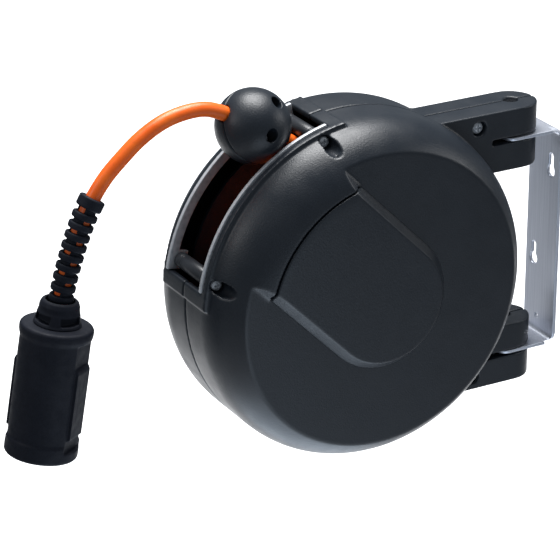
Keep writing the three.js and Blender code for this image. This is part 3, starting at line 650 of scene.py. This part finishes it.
def smooth_piece(obj, name, slot, *nodes):
    """A finished piece from a solid whose edges are already round."""
    obj.data.transform(TO_FRAME)
    obj.data.shade_smooth()
    return finish_piece(obj, name, slot, *nodes)


# Casing

# Lengths are in millimetres. The panel's turn, the rollers' angles, the rails' ears, and where the
# mouth, its frame and the rails start and end are degrees round the reel's axis.
WALL = 3
GAP = 0.3
SHOULDER = 41.5
FLAT_R = CASING_R - SHOULDER
RIM_Y = HALF_DEPTH - SHOULDER
FACE_Y = -55.8
# FAR is beyond every part, FRONT_HALF runs from before the casing to its middle, and FINE is the
# number of sides of a large circle.
FAR = 200
FRONT_HALF = (-70, 0)
FINE = 192
PANEL = {"turn": 45, "base": 50, "top": 43, "arc_r": 91, "tongue_r": 92, "wall": 2.5}
ARM = {"half": 19, "bottom": 60.5, "top": 106.5, "slot": 83.5, "slot_half": 2.3, "slot_end": 27,
       "wall": 3.5}
# A screw's values are its head's seat, and the radii of its boss and of the holes it sits in.
ARM_SCREW = {"x": 100, "z": 96.5, "seat": -14, "head_r": 5.5, "shank_r": 2.6, "boss_r": 7}
ROLLER_SCREW = {"seat": -28.5, "head_r": 5.2, "shank_r": 2.5, "end": 35, "boss_r": 7.5,
                "boss_half": 45}
MOUTH = {"start": 102.6, "end": 170.8, "half": 26, "inner_r": 110.5, "outer_r": 135.3,
         "frame_start": 97.5, "frame_end": 176, "frame_r": 127.3, "frame_half": 31}
RAIL = {"inner": 114.5, "band": 121.6, "outer": 128.5, "low": 22.7, "high": 25.7, "start": 102.9,
        "end": 170.5, "ear": 6.5}
ROLLER_ANGLES = {"upper": 106.3, "lower": 167}
ROLLER = {"axis_r": 119.5, "radius": 5.5, "half": 22.2, "bore": 2.5, "chamfer": 0.7}
PIN_HOLE_R = 5.3
GLAND = (48, 0, -52)
GLAND_R = 9
SPINDLE = {"radius": 8, "boss_r": 14, "boss_y": 57}
REAR_GROOVE = {"inner": 66, "outer": 68, "depth": 0.9}


def dome_profile(inset, steps):
    """The casing's outline from its axis over both round shoulders, or a smaller one inside it."""
    radius = SHOULDER - inset
    lower = arc(FLAT_R, -RIM_Y, radius, -90, 0, steps)
    upper = arc(FLAT_R, RIM_Y, radius, 0, 90, steps)
    return [(0, lower[0][1]), *lower, *upper, (0, upper[-1][1])]


def dome(inset=0, steps=24):
    return lathe(dome_profile(inset, steps), FINE)


def slab(low, high):
    """Everything between two places along Y."""
    return block((-FAR, FAR), (low, high), (-FAR, FAR))


def mirrored(sign, low, high):
    """A stretch above zero, or the same stretch below it, lowest end first."""
    return sorted((sign * low, sign * high))


def raised_band(inset, base_y, top_y):
    """The band across the front: sloped sides, and a round end centred on the disc."""
    base, top = PANEL["base"] - inset, PANEL["top"] - inset
    trapezoid = [(base_y, -base), (base_y, base), (top_y, top), (top_y, -top)]
    band = prism(trapezoid, "x", -CASING_R, 0)
    end = lathe([(0, top_y), (top, top_y), (base, base_y), (0, base_y)], 120)
    return placed(join(band, end), Matrix.Rotation(math.radians(PANEL["turn"]), 4, "Y"))


def arms():
    """The two arms, from well inside the casing to their round ends at the pivot."""
    root, half = CASING_R * 0.4, ARM["half"]
    outline = [(root, -half), *arc(PIVOT_X, 0, half, -90, 90, 24), (root, half)]
    return [prism(outline, "z", *mirrored(sign, ARM["bottom"], ARM["top"])) for sign in (1, -1)]


def arm_cuts():
    """The bracket's slots, the hollows round the screw bosses, the screw holes and pin holes."""
    slot_x = PIVOT_X - ARM["slot_end"]
    side = ARM["half"] + 1
    pocket_y = ARM["half"] - ARM["wall"]
    seat = ARM_SCREW["seat"]
    cuts = []
    for sign in (1, -1):
        slot = mirrored(sign, ARM["slot"] - ARM["slot_half"], ARM["slot"] + ARM["slot_half"])
        cuts.append(block((slot_x, PIVOT_X + side), (-side, side), slot))
        inside = mirrored(sign, ARM["bottom"] + ARM["wall"], ARM["top"] - ARM["wall"])
        pocket = block((CASING_R / 2, slot_x - ARM["wall"]), (-pocket_y, pocket_y), inside)
        boss, head, shank = (
            moved(rod(radius, -side, end), ARM_SCREW["x"], 0, sign * ARM_SCREW["z"])
            for radius, end in ((ARM_SCREW["boss_r"], side), (ARM_SCREW["head_r"], seat),
                                (ARM_SCREW["shank_r"], -seat))
        )
        cuts += [cut(pocket, boss), head, shank]
    for top, bottom in ((ARM["top"], ARM["bottom"]), (-ARM["bottom"], -ARM["top"])):
        cuts.append(disc(PIVOT_X, 0, PIN_HOLE_R, "z", bottom + ARM["wall"], top + 1))
    return cuts


def roller_place(which):
    angle = math.radians(ROLLER_ANGLES[which])
    return ROLLER["axis_r"] * math.cos(angle), 0, ROLLER["axis_r"] * math.sin(angle)


def mouth_cuts():
    """The mouth, and the holes for the screws that the rollers turn on."""
    cuts = [sector(MOUTH["inner_r"], MOUTH["outer_r"], MOUTH["start"], MOUTH["end"],
                   -MOUTH["half"], MOUTH["half"])]
    seat = ROLLER_SCREW["seat"]
    for which in ROLLER_ANGLES:
        head = rod(ROLLER_SCREW["head_r"], -HALF_DEPTH, seat)
        shank = rod(ROLLER_SCREW["shank_r"], seat - 1, ROLLER_SCREW["end"])
        cuts += [moved(hole, *roller_place(which)) for hole in (head, shank)]
    return cuts


def casing_bosses():
    """What the rollers' screws and the spindle's rear end sit in."""
    half = ROLLER_SCREW["boss_half"]
    bosses = [meet(moved(rod(ROLLER_SCREW["boss_r"], -half, half), *roller_place(which)), dome())
              for which in ROLLER_ANGLES]
    bosses.append(tube(SPINDLE["radius"] + GAP, SPINDLE["boss_r"], SPINDLE["boss_y"],
                       HALF_DEPTH - WALL + 1))
    return bosses


def casing_body():
    """Both shells and their arms as one hollow solid."""
    body = cut(dome(), slab(-FAR, FACE_Y))
    tongue = meet(raised_band(0, FACE_Y, -HALF_DEPTH), dome())
    cut(tongue, rod(PANEL["tongue_r"], *FRONT_HALF, FINE))
    rim = sector(CASING_R - WALL, MOUTH["frame_r"], MOUTH["frame_start"], MOUTH["frame_end"],
                 -MOUTH["frame_half"], MOUTH["frame_half"])
    join(body, tongue, rim, *arms())
    hollow = cut(dome(WALL, 20), slab(-FAR, FACE_Y + WALL))
    deep = meet(raised_band(WALL, FACE_Y + WALL, -HALF_DEPTH + WALL), dome(WALL, 20))
    join(hollow, cut(deep, rod(PANEL["tongue_r"] + WALL, *FRONT_HALF, FINE)))
    cut(body, hollow)
    join(body, *casing_bosses())
    outside = HALF_DEPTH + 1
    gland_hole = moved(rod(GLAND_R + GAP, HALF_DEPTH - 5, outside), *GLAND)
    groove = tube(REAR_GROOVE["inner"], REAR_GROOVE["outer"], HALF_DEPTH - REAR_GROOVE["depth"],
                  outside, FINE)
    return cut(body, *arm_cuts(), *mouth_cuts(), gland_hole, groove,
               rod(SPINDLE["radius"] + GAP, -HALF_DEPTH, outside))


def add_casing():
    whole = casing_body()
    for name, ends in (("front_shell", (-FAR, -GAP / 2)), ("rear_shell", (GAP / 2, FAR))):
        shell = mould(meet(copy_of(whole), slab(*ends)), voxel=1.0, faces=190000)
        smooth_piece(shell, f"moulded_{name}", "casing_plastic", name)
    bpy.data.objects.remove(whole)
    panel = meet(raised_band(0, FACE_Y, -HALF_DEPTH),
                 rod(PANEL["arc_r"], FRONT_HALF[0], FACE_Y - GAP, FINE))
    inner = raised_band(PANEL["wall"], FACE_Y, -HALF_DEPTH + PANEL["wall"])
    cut(panel, meet(inner, rod(PANEL["arc_r"] - PANEL["wall"], *FRONT_HALF, FINE)))
    panel = mould(meet(panel, dome()), voxel=0.7, faces=90000)
    smooth_piece(panel, "moulded_front_panel", "casing_plastic", "front_panel")


# Screws, pins and rollers


def screw_solid(head_r, head_h, shank_r, length):
    """Pan head below y = 0 with a cross recess, threaded shank above it."""
    profile = [(0, -head_h), (head_r * 0.55, -head_h), (head_r * 0.9, -head_h * 0.62),
               (head_r, -head_h * 0.15), (head_r, 0), (shank_r, 0)]
    plain, tip, pitch, root_r = 4, 2, 1.2, shank_r * 0.8
    for i in range(int((length - plain - tip) / pitch)):
        y = plain + i * pitch
        profile += [(root_r, y), (shank_r, y + pitch / 2)]
    profile += [(root_r, length - 1), (0, length)]
    narrow, long = head_r * 0.13, head_r * 0.58
    depth = (-head_h - 1, -head_h * 0.45)
    return cut(lathe(profile, 40),
               block((-long, long), depth, (-narrow, narrow)),
               block((-narrow, narrow), depth, (-long, long)))


def add_screws():
    for which, sign in (("upper", 1), ("lower", -1)):
        arm_screw = mould(screw_solid(head_r=4.6, head_h=2.8, shank_r=2.3, length=26),
                          voxel=0.16, faces=14000, rounds=2)
        moved(arm_screw, ARM_SCREW["x"], ARM_SCREW["seat"] - GAP, sign * ARM_SCREW["z"])
        smooth_piece(arm_screw, f"threaded_{which}_arm_screw", "zinc_steel", f"{which}_arm_screw")
        axle = mould(screw_solid(head_r=4.2, head_h=2.6, shank_r=2.2, length=62.5),
                     voxel=0.16, faces=20000, rounds=2)
        x, _, z = roller_place(which)
        moved(axle, x, ROLLER_SCREW["seat"] - GAP, z)
        smooth_piece(axle, f"threaded_{which}_roller_screw", "zinc_steel", f"{which}_roller_screw")


def add_rollers():
    """Rollers with chamfered ends and two fine grooves near each end."""
    radius, half, bore, chamfer = (ROLLER[k] for k in ("radius", "half", "bore", "chamfer"))
    groove_half, groove_depth = 0.6, 0.4
    profile = [(bore, -half), (radius - chamfer, -half), (radius, -half + chamfer)]
    for y in (-16, -14, 14, 16):
        bottom = (radius - groove_depth, y)
        profile += [(radius, y - groove_half), bottom, (radius, y + groove_half)]
    profile += [(radius, half - chamfer), (radius - chamfer, half), (bore, half)]
    for which in ROLLER_ANGLES:
        roller = moved(lathe(profile, 64), *roller_place(which))
        smooth_piece(roller, f"turned_{which}_roller", "roller_plastic", f"{which}_roller")


def add_pins():
    """Pivot pins with chamfered ends and a centre dimple."""
    chamfer, dimple_r, dimple_depth = 0.8, 1.2, 0.9
    for which in ("upper", "lower"):
        low, high = box_in_reel(f"{which}_pivot_pin")
        radius = (high.x - low.x) / 2
        end_r = radius - chamfer
        profile = [(0, low.z), (end_r, low.z), (radius, low.z + chamfer),
                   (radius, high.z - chamfer), (end_r, high.z), (dimple_r, high.z),
                   (0, high.z - dimple_depth)]
        pin = mould(moved(upright(profile, 64), PIVOT_X), voxel=0.3, faces=12000, rounds=2)
        smooth_piece(pin, f"turned_{which}_pivot_pin", "zinc_steel", f"{which}_pivot_pin")


def add_rails():
    """Strips along the mouth, with an ear at each end that holds a roller's screw."""
    through = 40
    for name, sign in (("front_guard_rail", -1), ("rear_guard_rail", 1)):
        y = mirrored(sign, RAIL["low"], RAIL["high"])
        rail = sector(RAIL["band"], RAIL["outer"], RAIL["start"], RAIL["end"], *y)
        for start in (RAIL["start"], RAIL["end"] - RAIL["ear"]):
            end = start + RAIL["ear"]
            join(rail, sector(RAIL["inner"], RAIL["band"] + 1, start, end, *y, steps=12))
        holes = [moved(rod(ROLLER_SCREW["shank_r"], -through, through), *roller_place(which))
                 for which in ROLLER_ANGLES]
        rail = mould(cut(rail, *holes), voxel=0.45, faces=40000, rounds=2)
        smooth_piece(rail, f"rolled_{name}", "zinc_steel", name)


# Wall bracket

# Millimetres from the middle of the plate's back face. A keyhole is (y, z) of its round part, and
# the small hole is (y, z, radius).
BRACKET = {"thick": 2.5, "half": 19, "bend": 3.5, "flange": 83, "flange_x": -48, "corner": 8}
RELIEF = {"depth": 9, "radius": 7, "z": 77}
KEYHOLES = ((-8.5, 48.7), (9.3, -26))
KEYHOLE = {"hole": 4.5, "slot": 2.6, "rise": 11}
SMALL_HOLE = (3, -70, 2)
THROUGH_PLATE = (-9, 1)


def bracket_section():
    """The bent strip seen along Y: the plate, two rounded bends and two flanges."""
    thick, bend, end = BRACKET["thick"], BRACKET["bend"], BRACKET["flange_x"]
    outer_z, inner_z = BRACKET["flange"] + thick / 2, BRACKET["flange"] - thick / 2
    outer_r = bend + thick
    inner_x = -thick
    return [
        (end, -outer_z), *arc(-outer_r, -outer_z + outer_r, outer_r, -90, 0),
        *arc(-outer_r, outer_z - outer_r, outer_r, 0, 90), (end, outer_z), (end, inner_z),
        *arc(inner_x - bend, inner_z - bend, bend, 90, 0),
        *arc(inner_x - bend, -inner_z + bend, bend, 0, -90), (end, -inner_z),
    ]


def flange_outline():
    """The bracket seen from above, with the flanges' front corners rounded."""
    half, end, corner = BRACKET["half"], BRACKET["flange_x"], BRACKET["corner"]
    return [(1, -half), (1, half), *arc(end + corner, half - corner, corner, 90, 180),
            *arc(end + corner, -half + corner, corner, 180, 270)]


def corner_relief(side_y, side_z):
    """The tool that rounds one corner of the plate."""
    depth, radius, low = RELIEF["depth"], RELIEF["radius"], RELIEF["z"]
    inner, outer = BRACKET["half"] - radius, BRACKET["half"] + 1
    top = BRACKET["flange"] + BRACKET["thick"]
    square = [(inner, low), (outer, low), (outer, top), (inner, top)]
    relief = cut(prism(square, "x", -depth, 1), disc(inner, low, radius, "x", -depth - 1, 2))
    return placed(relief, Matrix.Diagonal((1, side_y, side_z, 1)))


def add_bracket():
    """Built with the plate's back face at x = 0, then moved to its place."""
    back_x = in_reel((0, 0, 0)).x
    top = BRACKET["flange"] + BRACKET["thick"]
    body = meet(prism(bracket_section(), "y", -BRACKET["half"], BRACKET["half"]),
                prism(flange_outline(), "z", -top, top))
    holes = [corner_relief(y, z) for y in (1, -1) for z in (1, -1)]
    for y, z in KEYHOLES:
        slot, rise = KEYHOLE["slot"], KEYHOLE["rise"]
        outline = [*arc(y, z + rise, slot, 0, 180), (y - slot, z), (y + slot, z)]
        holes += [disc(y, z, KEYHOLE["hole"], "x", *THROUGH_PLATE),
                  prism(outline, "x", *THROUGH_PLATE)]
    holes.append(disc(*SMALL_HOLE, "x", *THROUGH_PLATE))
    holes.append(disc(PIVOT_X - back_x, 0, PIN_HOLE_R, "z", -top, top))
    bracket = mould(cut(body, *holes), voxel=0.5, faces=90000, rounds=2)
    smooth_piece(moved(bracket, back_x), "pressed_wall_bracket", "stainless_steel", "wall_bracket")


# Ball stopper

# Millimetres, and the roll that turns the seam between the halves about the cord, in degrees.
BALL = {"radius": 26.4, "bore": 6.1, "roll": 31, "screw_offset": 12, "head_r": 4.4, "shank_r": 1.9,
        "seat": -12.5, "shank_end": 12, "seam_depth": 0.9, "seam_half": 0.7}


def ball_frame():
    """Local X along the cord, local Y along the screws."""
    roll = math.radians(BALL["roll"])
    screws = Vector((0, math.cos(roll), 0)) - ACROSS * math.sin(roll)
    turn = Matrix((ALONG, screws, ALONG.cross(screws))).transposed().to_4x4()
    return Matrix.Translation(on_cord_line(BALL_DISTANCE)) @ turn


def whole_ball(reach):
    """The ball with its bore, its two screw holes and a groove along the seam."""
    seat, seam = BALL["seat"], BALL["seam_half"]
    tools = [placed(rod(BALL["bore"], -reach, reach), Matrix.Rotation(math.radians(90), 4, "Z"))]
    for offset in (-BALL["screw_offset"], BALL["screw_offset"]):
        tools.append(moved(rod(BALL["head_r"], -reach, seat), 0, 0, offset))
        tools.append(moved(rod(BALL["shank_r"], seat - 1, BALL["shank_end"]), 0, 0, offset))
    tools.append(tube(BALL["radius"] - BALL["seam_depth"], reach, -seam, seam, 128))
    return cut(lathe(arc(0, 0, BALL["radius"], -90, 90, 64), 128), *tools)


def add_ball():
    reach = BALL["radius"] + 2
    for name, ends in (("front", (-reach, -GAP / 2)), ("rear", (GAP / 2, reach))):
        half = meet(whole_ball(reach), block((-reach, reach), ends, (-reach, reach)))
        placed(mould(half, voxel=0.5, faces=60000), ball_frame())
        smooth_piece(half, f"moulded_ball_{name}_half", "casing_plastic", f"ball_{name}_half")
    for name, side in (("ball_screw_upper", -1), ("ball_screw_lower", 1)):
        screw = mould(screw_solid(head_r=3.2, head_h=2.2, shank_r=1.6, length=23),
                      voxel=0.14, faces=12000, rounds=2)
        moved(screw, 0, BALL["seat"] - GAP, side * BALL["screw_offset"])
        smooth_piece(placed(screw, ball_frame()), f"threaded_{name}", "zinc_steel", name)


# Bend protector and connector

# The sleeve starts at a share of the cord's visible length. Its first rib is measured from there.
PROTECTOR = {"start": 0.59, "collar": 8, "collar_r": 9.2, "first": 13.5, "pitch": 7.25, "ribs": 11,
             "rib": 4.9, "rib_r": 8.9, "taper": 0.04, "bore": CORD_D / 2 + 0.05, "bar_r": 6.4,
             "bar_half": 4.6, "bar_turn": 75}
# The connector's body reaches from 0 down to -length along its own Z. Its neck stands on that.
CONNECTOR = {"radius": 25.3, "length": 94, "tilt": 9.7, "grip_turn": -51, "window_turn": 12}
CONNECTOR_TOP = (-221.4, 0, 10)


def along_line(line, distance):
    """The point and the direction at a distance along a line."""
    for a, b in zip(line, line[1:]):
        step = (b - a).length
        if distance <= step:
            return a.lerp(b, distance / step), (b - a).normalized()
        distance -= step
    return line[-1], (line[-1] - line[-2]).normalized()


def facing(place, course):
    """Local Y along the cord, local Z along the frame's Y."""
    side = Vector((0, 1, 0))
    turn = Matrix((course.cross(side), course, side)).transposed().to_4x4()
    return Matrix.Translation(place) @ turn


def ring_on_cord(radius, width):
    """A round-edged ring with a bore that the cord fills."""
    bore, half = PROTECTOR["bore"], width / 2
    edge = min(half, 1.3)
    lower = arc(radius - edge, -half + edge, edge, -90, 0, 6)
    upper = arc(radius - edge, half - edge, edge, 0, 90, 6)
    return lathe([(bore, -half), *lower, *upper, (bore, half)], 48)


def rib_bars():
    """The two bars between a rib and the one before it."""
    pitch, half, wide = PROTECTOR["pitch"], PROTECTOR["bar_half"], 10
    return meet(tube(PROTECTOR["bore"], PROTECTOR["bar_r"], -pitch / 2, pitch / 2),
                block((-wide, wide), (-pitch, pitch), (-half, half)))


def add_protector():
    """A segmented sleeve: a collar, then round ribs held by bars that change sides."""
    tail = bezier_line(RUN[len(STRAIGHT) - 1:])
    start = PROTECTOR["start"] * length_of(tail)
    collar = ring_on_cord(PROTECTOR["collar_r"], PROTECTOR["collar"])
    parts = [placed(collar, facing(*along_line(tail, start + PROTECTOR["collar"] / 2)))]
    for i in range(PROTECTOR["ribs"]):
        centre = start + PROTECTOR["first"] + i * PROTECTOR["pitch"]
        rib = ring_on_cord(PROTECTOR["rib_r"] - PROTECTOR["taper"] * i, PROTECTOR["rib"])
        parts.append(placed(rib, facing(*along_line(tail, centre))))
        between = facing(*along_line(tail, centre - PROTECTOR["pitch"] / 2))
        turn = math.radians(PROTECTOR["bar_turn"] + 90 * (i % 2))
        parts.append(placed(rib_bars(), between @ Matrix.Rotation(turn, 4, "Y")))
    sleeve = mould(join(*parts), voxel=0.35, faces=90000, rounds=2)
    return smooth_piece(sleeve, "segmented_bend_protector", "black_rubber", "bend_protector")


def connector_frame():
    tilt = Matrix.Rotation(math.radians(CONNECTOR["tilt"]), 4, "Y")
    return Matrix.Translation(CONNECTOR_TOP) @ tilt


def spun(obj, degrees):
    return placed(obj, Matrix.Rotation(math.radians(degrees), 4, "Z"))


def connector_neck():
    """The collar that holds the sleeve, with four windows round it."""
    neck = upright([(10.2, 0.3), (16.6, 0.3), (15.8, 2.2), (14.6, 8.5), (14.0, 10.5), (13.8, 13.5),
                    (12.8, 16.2), (11.6, 17.3), (10.2, 17.3)])
    turns = [CONNECTOR["window_turn"] + 90 * i for i in range(4)]
    windows = [spun(block(x=(10.8, 22), y=(-7.6, 7.6), z=(2.6, 8.0)), turn) for turn in turns]
    return cut(neck, *windows)


def connector_body():
    """A hollow body with a waist, and two sunk grips with a grooved pad in each."""
    radius, end = CONNECTOR["radius"], -CONNECTOR["length"]
    bore, inner, mouth, waist = 6.2, 20, radius - 3, radius - 1.0
    body = upright([
        (bore, 0), (bore, -20), (inner, -26), (inner, end + 6), (mouth, end + 6), (mouth, end),
        (radius - 1.2, end), (radius, end + 1.5), (radius, end + 12), (waist, end + 13.5),
        (waist, -9), (radius - 0.4, -7), (radius, -5.5), (radius, -2.2), (radius - 0.8, -0.7),
        (radius - 2.4, 0),
    ])
    for turn in (CONNECTOR["grip_turn"], CONNECTOR["grip_turn"] + 180):
        cut(body, spun(block(x=(21.6, 30), y=(-12, 12), z=(end + 8, -8.5)), turn))
        slope = [(21, -26), (21, end + 16), (24.1, end + 18), (24.1, -29), (23.2, -26)]
        grooves = [block(x=(23.9, 30), y=(y - 0.5, y + 0.5), z=(end + 21, -32)) for y in (-5, 0, 5)]
        join(body, spun(cut(prism(slope, "y", -9.5, 9.5), *grooves), turn))
    return body


def add_connector():
    neck = mould(connector_neck(), voxel=0.45, faces=60000)
    body = mould(connector_body(), voxel=0.6, faces=110000)
    for obj, node in ((neck, "connector_neck"), (body, "connector_body")):
        smooth_piece(placed(obj, connector_frame()), f"moulded_{node}", "black_rubber", node)


# Supply inlet


def add_inlet():
    """The gland's flange and its domed cap with grip flutes."""
    outside = HALF_DEPTH + GAP
    inside = HALF_DEPTH - WALL - 6.3
    bore, flange_r, cap_r, dome_r = 5.6, 13.5, 12.5, 4
    flutes_round, flute_r, flute_at = 14, 1.3, 13.3
    body = lathe([
        (bore, inside), (GLAND_R, inside), (GLAND_R, outside), (flange_r - 0.6, outside),
        (flange_r, outside + 0.8), (flange_r, outside + 2.3), (flange_r - 0.6, outside + 3),
        (GLAND_R, outside + 3), (GLAND_R, outside + 9), (bore, outside + 9),
    ])
    cap = lathe([
        (GLAND_R + GAP, outside + 3.3), (cap_r, outside + 3.3),
        *arc(cap_r - dome_r, outside + 11, dome_r, 0, 90, 10), (bore, outside + 15),
        (bore, outside + 9.3), (GLAND_R + GAP, outside + 9.3),
    ])
    flutes = [disc(flute_at * math.cos(a), flute_at * math.sin(a), flute_r, "y",
                   outside + 4.5, outside + 20, 20)
              for a in (2 * math.pi * i / flutes_round for i in range(flutes_round))]
    cut(cap, *flutes)
    for obj, name in ((body, "inlet_gland"), (cap, "inlet_gland_cap")):
        mould(obj, voxel=0.35, faces=40000, rounds=2)
        smooth_piece(moved(obj, *GLAND), f"moulded_{name}", "black_rubber", name)


# CAD nodes that stay

# The width of a broken edge, in metres, and how sharply faces must meet to get one.
BROKEN_EDGE = 0.0002
SHARP = math.radians(40)


def dress_cad_nodes():
    """Gives each its slot's material and fine broken edges."""
    slots = {row["node"]: row["material_slot"] for row in frame["record"]["subparts"]}
    for name, obj in frame["nodes"].items():
        if obj.hide_render:
            continue
        obj.data.materials.clear()
        obj.data.materials.append(LOOKS[slots[name]])
        bevel = obj.modifiers.new("edges", "BEVEL")
        bevel.width = BROKEN_EDGE
        bevel.segments = 2
        bevel.limit_method = "ANGLE"
        bevel.angle_limit = SHARP
        obj.modifiers.new("shading", "WEIGHTED_NORMAL")


# Floor and light, in metres round the middle of the whole object

MIDDLE = (CAD_BOX[0] + CAD_BOX[1]) / 2
FLOOR_REACH = 12
FLOOR_DROP = 1.0
COLD = (0.7, 0.84, 1)
WORLD = {"color": (0.82, 0.91, 1.0, 1), "strength": 0.22}


def add_floor():
    """A white floor, well below the reel."""
    level = CAD_BOX[0].z - FLOOR_DROP
    corners = [(MIDDLE.x + x * FLOOR_REACH, MIDDLE.y + y * FLOOR_REACH, level)
               for x, y in ((-1, -1), (1, -1), (1, 1), (-1, 1))]
    mesh = bpy.data.meshes.new("floor")
    mesh.from_pydata(corners, [], [(0, 1, 2, 3)])
    floor = bpy.data.objects.new("floor", mesh)
    SCENE.collection.objects.link(floor)
    look = Look("floor_paint")
    look.color(look.mix(look.range(look.noise(3, 2), 0, 1), (0.86, 0.86, 0.87), (0.90, 0.90, 0.91)))
    look.rough(look.noise(5, 2), 0.7, 0.8)
    mesh.materials.append(look.material)


def add_light(name, azimuth, elevation, distance, size, power, aim=(0, 0, 0), color=(1, 1, 1)):
    """A soft square light. Azimuth and elevation are seen from the point it is aimed at."""
    back = outward(azimuth, elevation)
    data = bpy.data.lights.new(name, "AREA")
    data.size = size
    data.energy = power
    data.color = color
    light = bpy.data.objects.new(name, data)
    SCENE.collection.objects.link(light)
    light.location = MIDDLE + Vector(aim) + back * distance
    light.rotation_euler = (-back).to_track_quat("-Z", "Y").to_euler()


def add_studio():
    world = bpy.data.worlds.new("studio")
    SCENE.world = world
    world.use_nodes = True
    background = world.node_tree.nodes["Background"]
    background.inputs["Color"].default_value = WORLD["color"]
    background.inputs["Strength"].default_value = WORLD["strength"]
    add_light("key", 150, 77, distance=1.1, size=0.7, power=24)
    add_light("side", -95, 30, distance=1.4, size=0.35, power=2)
    add_light("right", 70, 20, distance=1.8, size=0.6, power=4)
    add_light("low_fill", 0, -35, distance=1.3, size=1.0, power=3, color=COLD)
    add_light("under", 0, -90, distance=0.8, size=0.7, power=3.5, color=COLD)
    # Low over the floor behind the reel, and facing straight down.
    add_light("floor_wash", 0, 90, distance=0.01, size=3.6, power=85, aim=(1.4, 2.5, -0.65))


add_casing()
add_screws()
add_rollers()
add_pins()
add_rails()
add_bracket()
add_ball()
protector = add_protector()
add_connector()
add_inlet()
dress_cad_nodes()
add_floor()
add_studio()

length_of(bezier_line(RUN)) / 1000
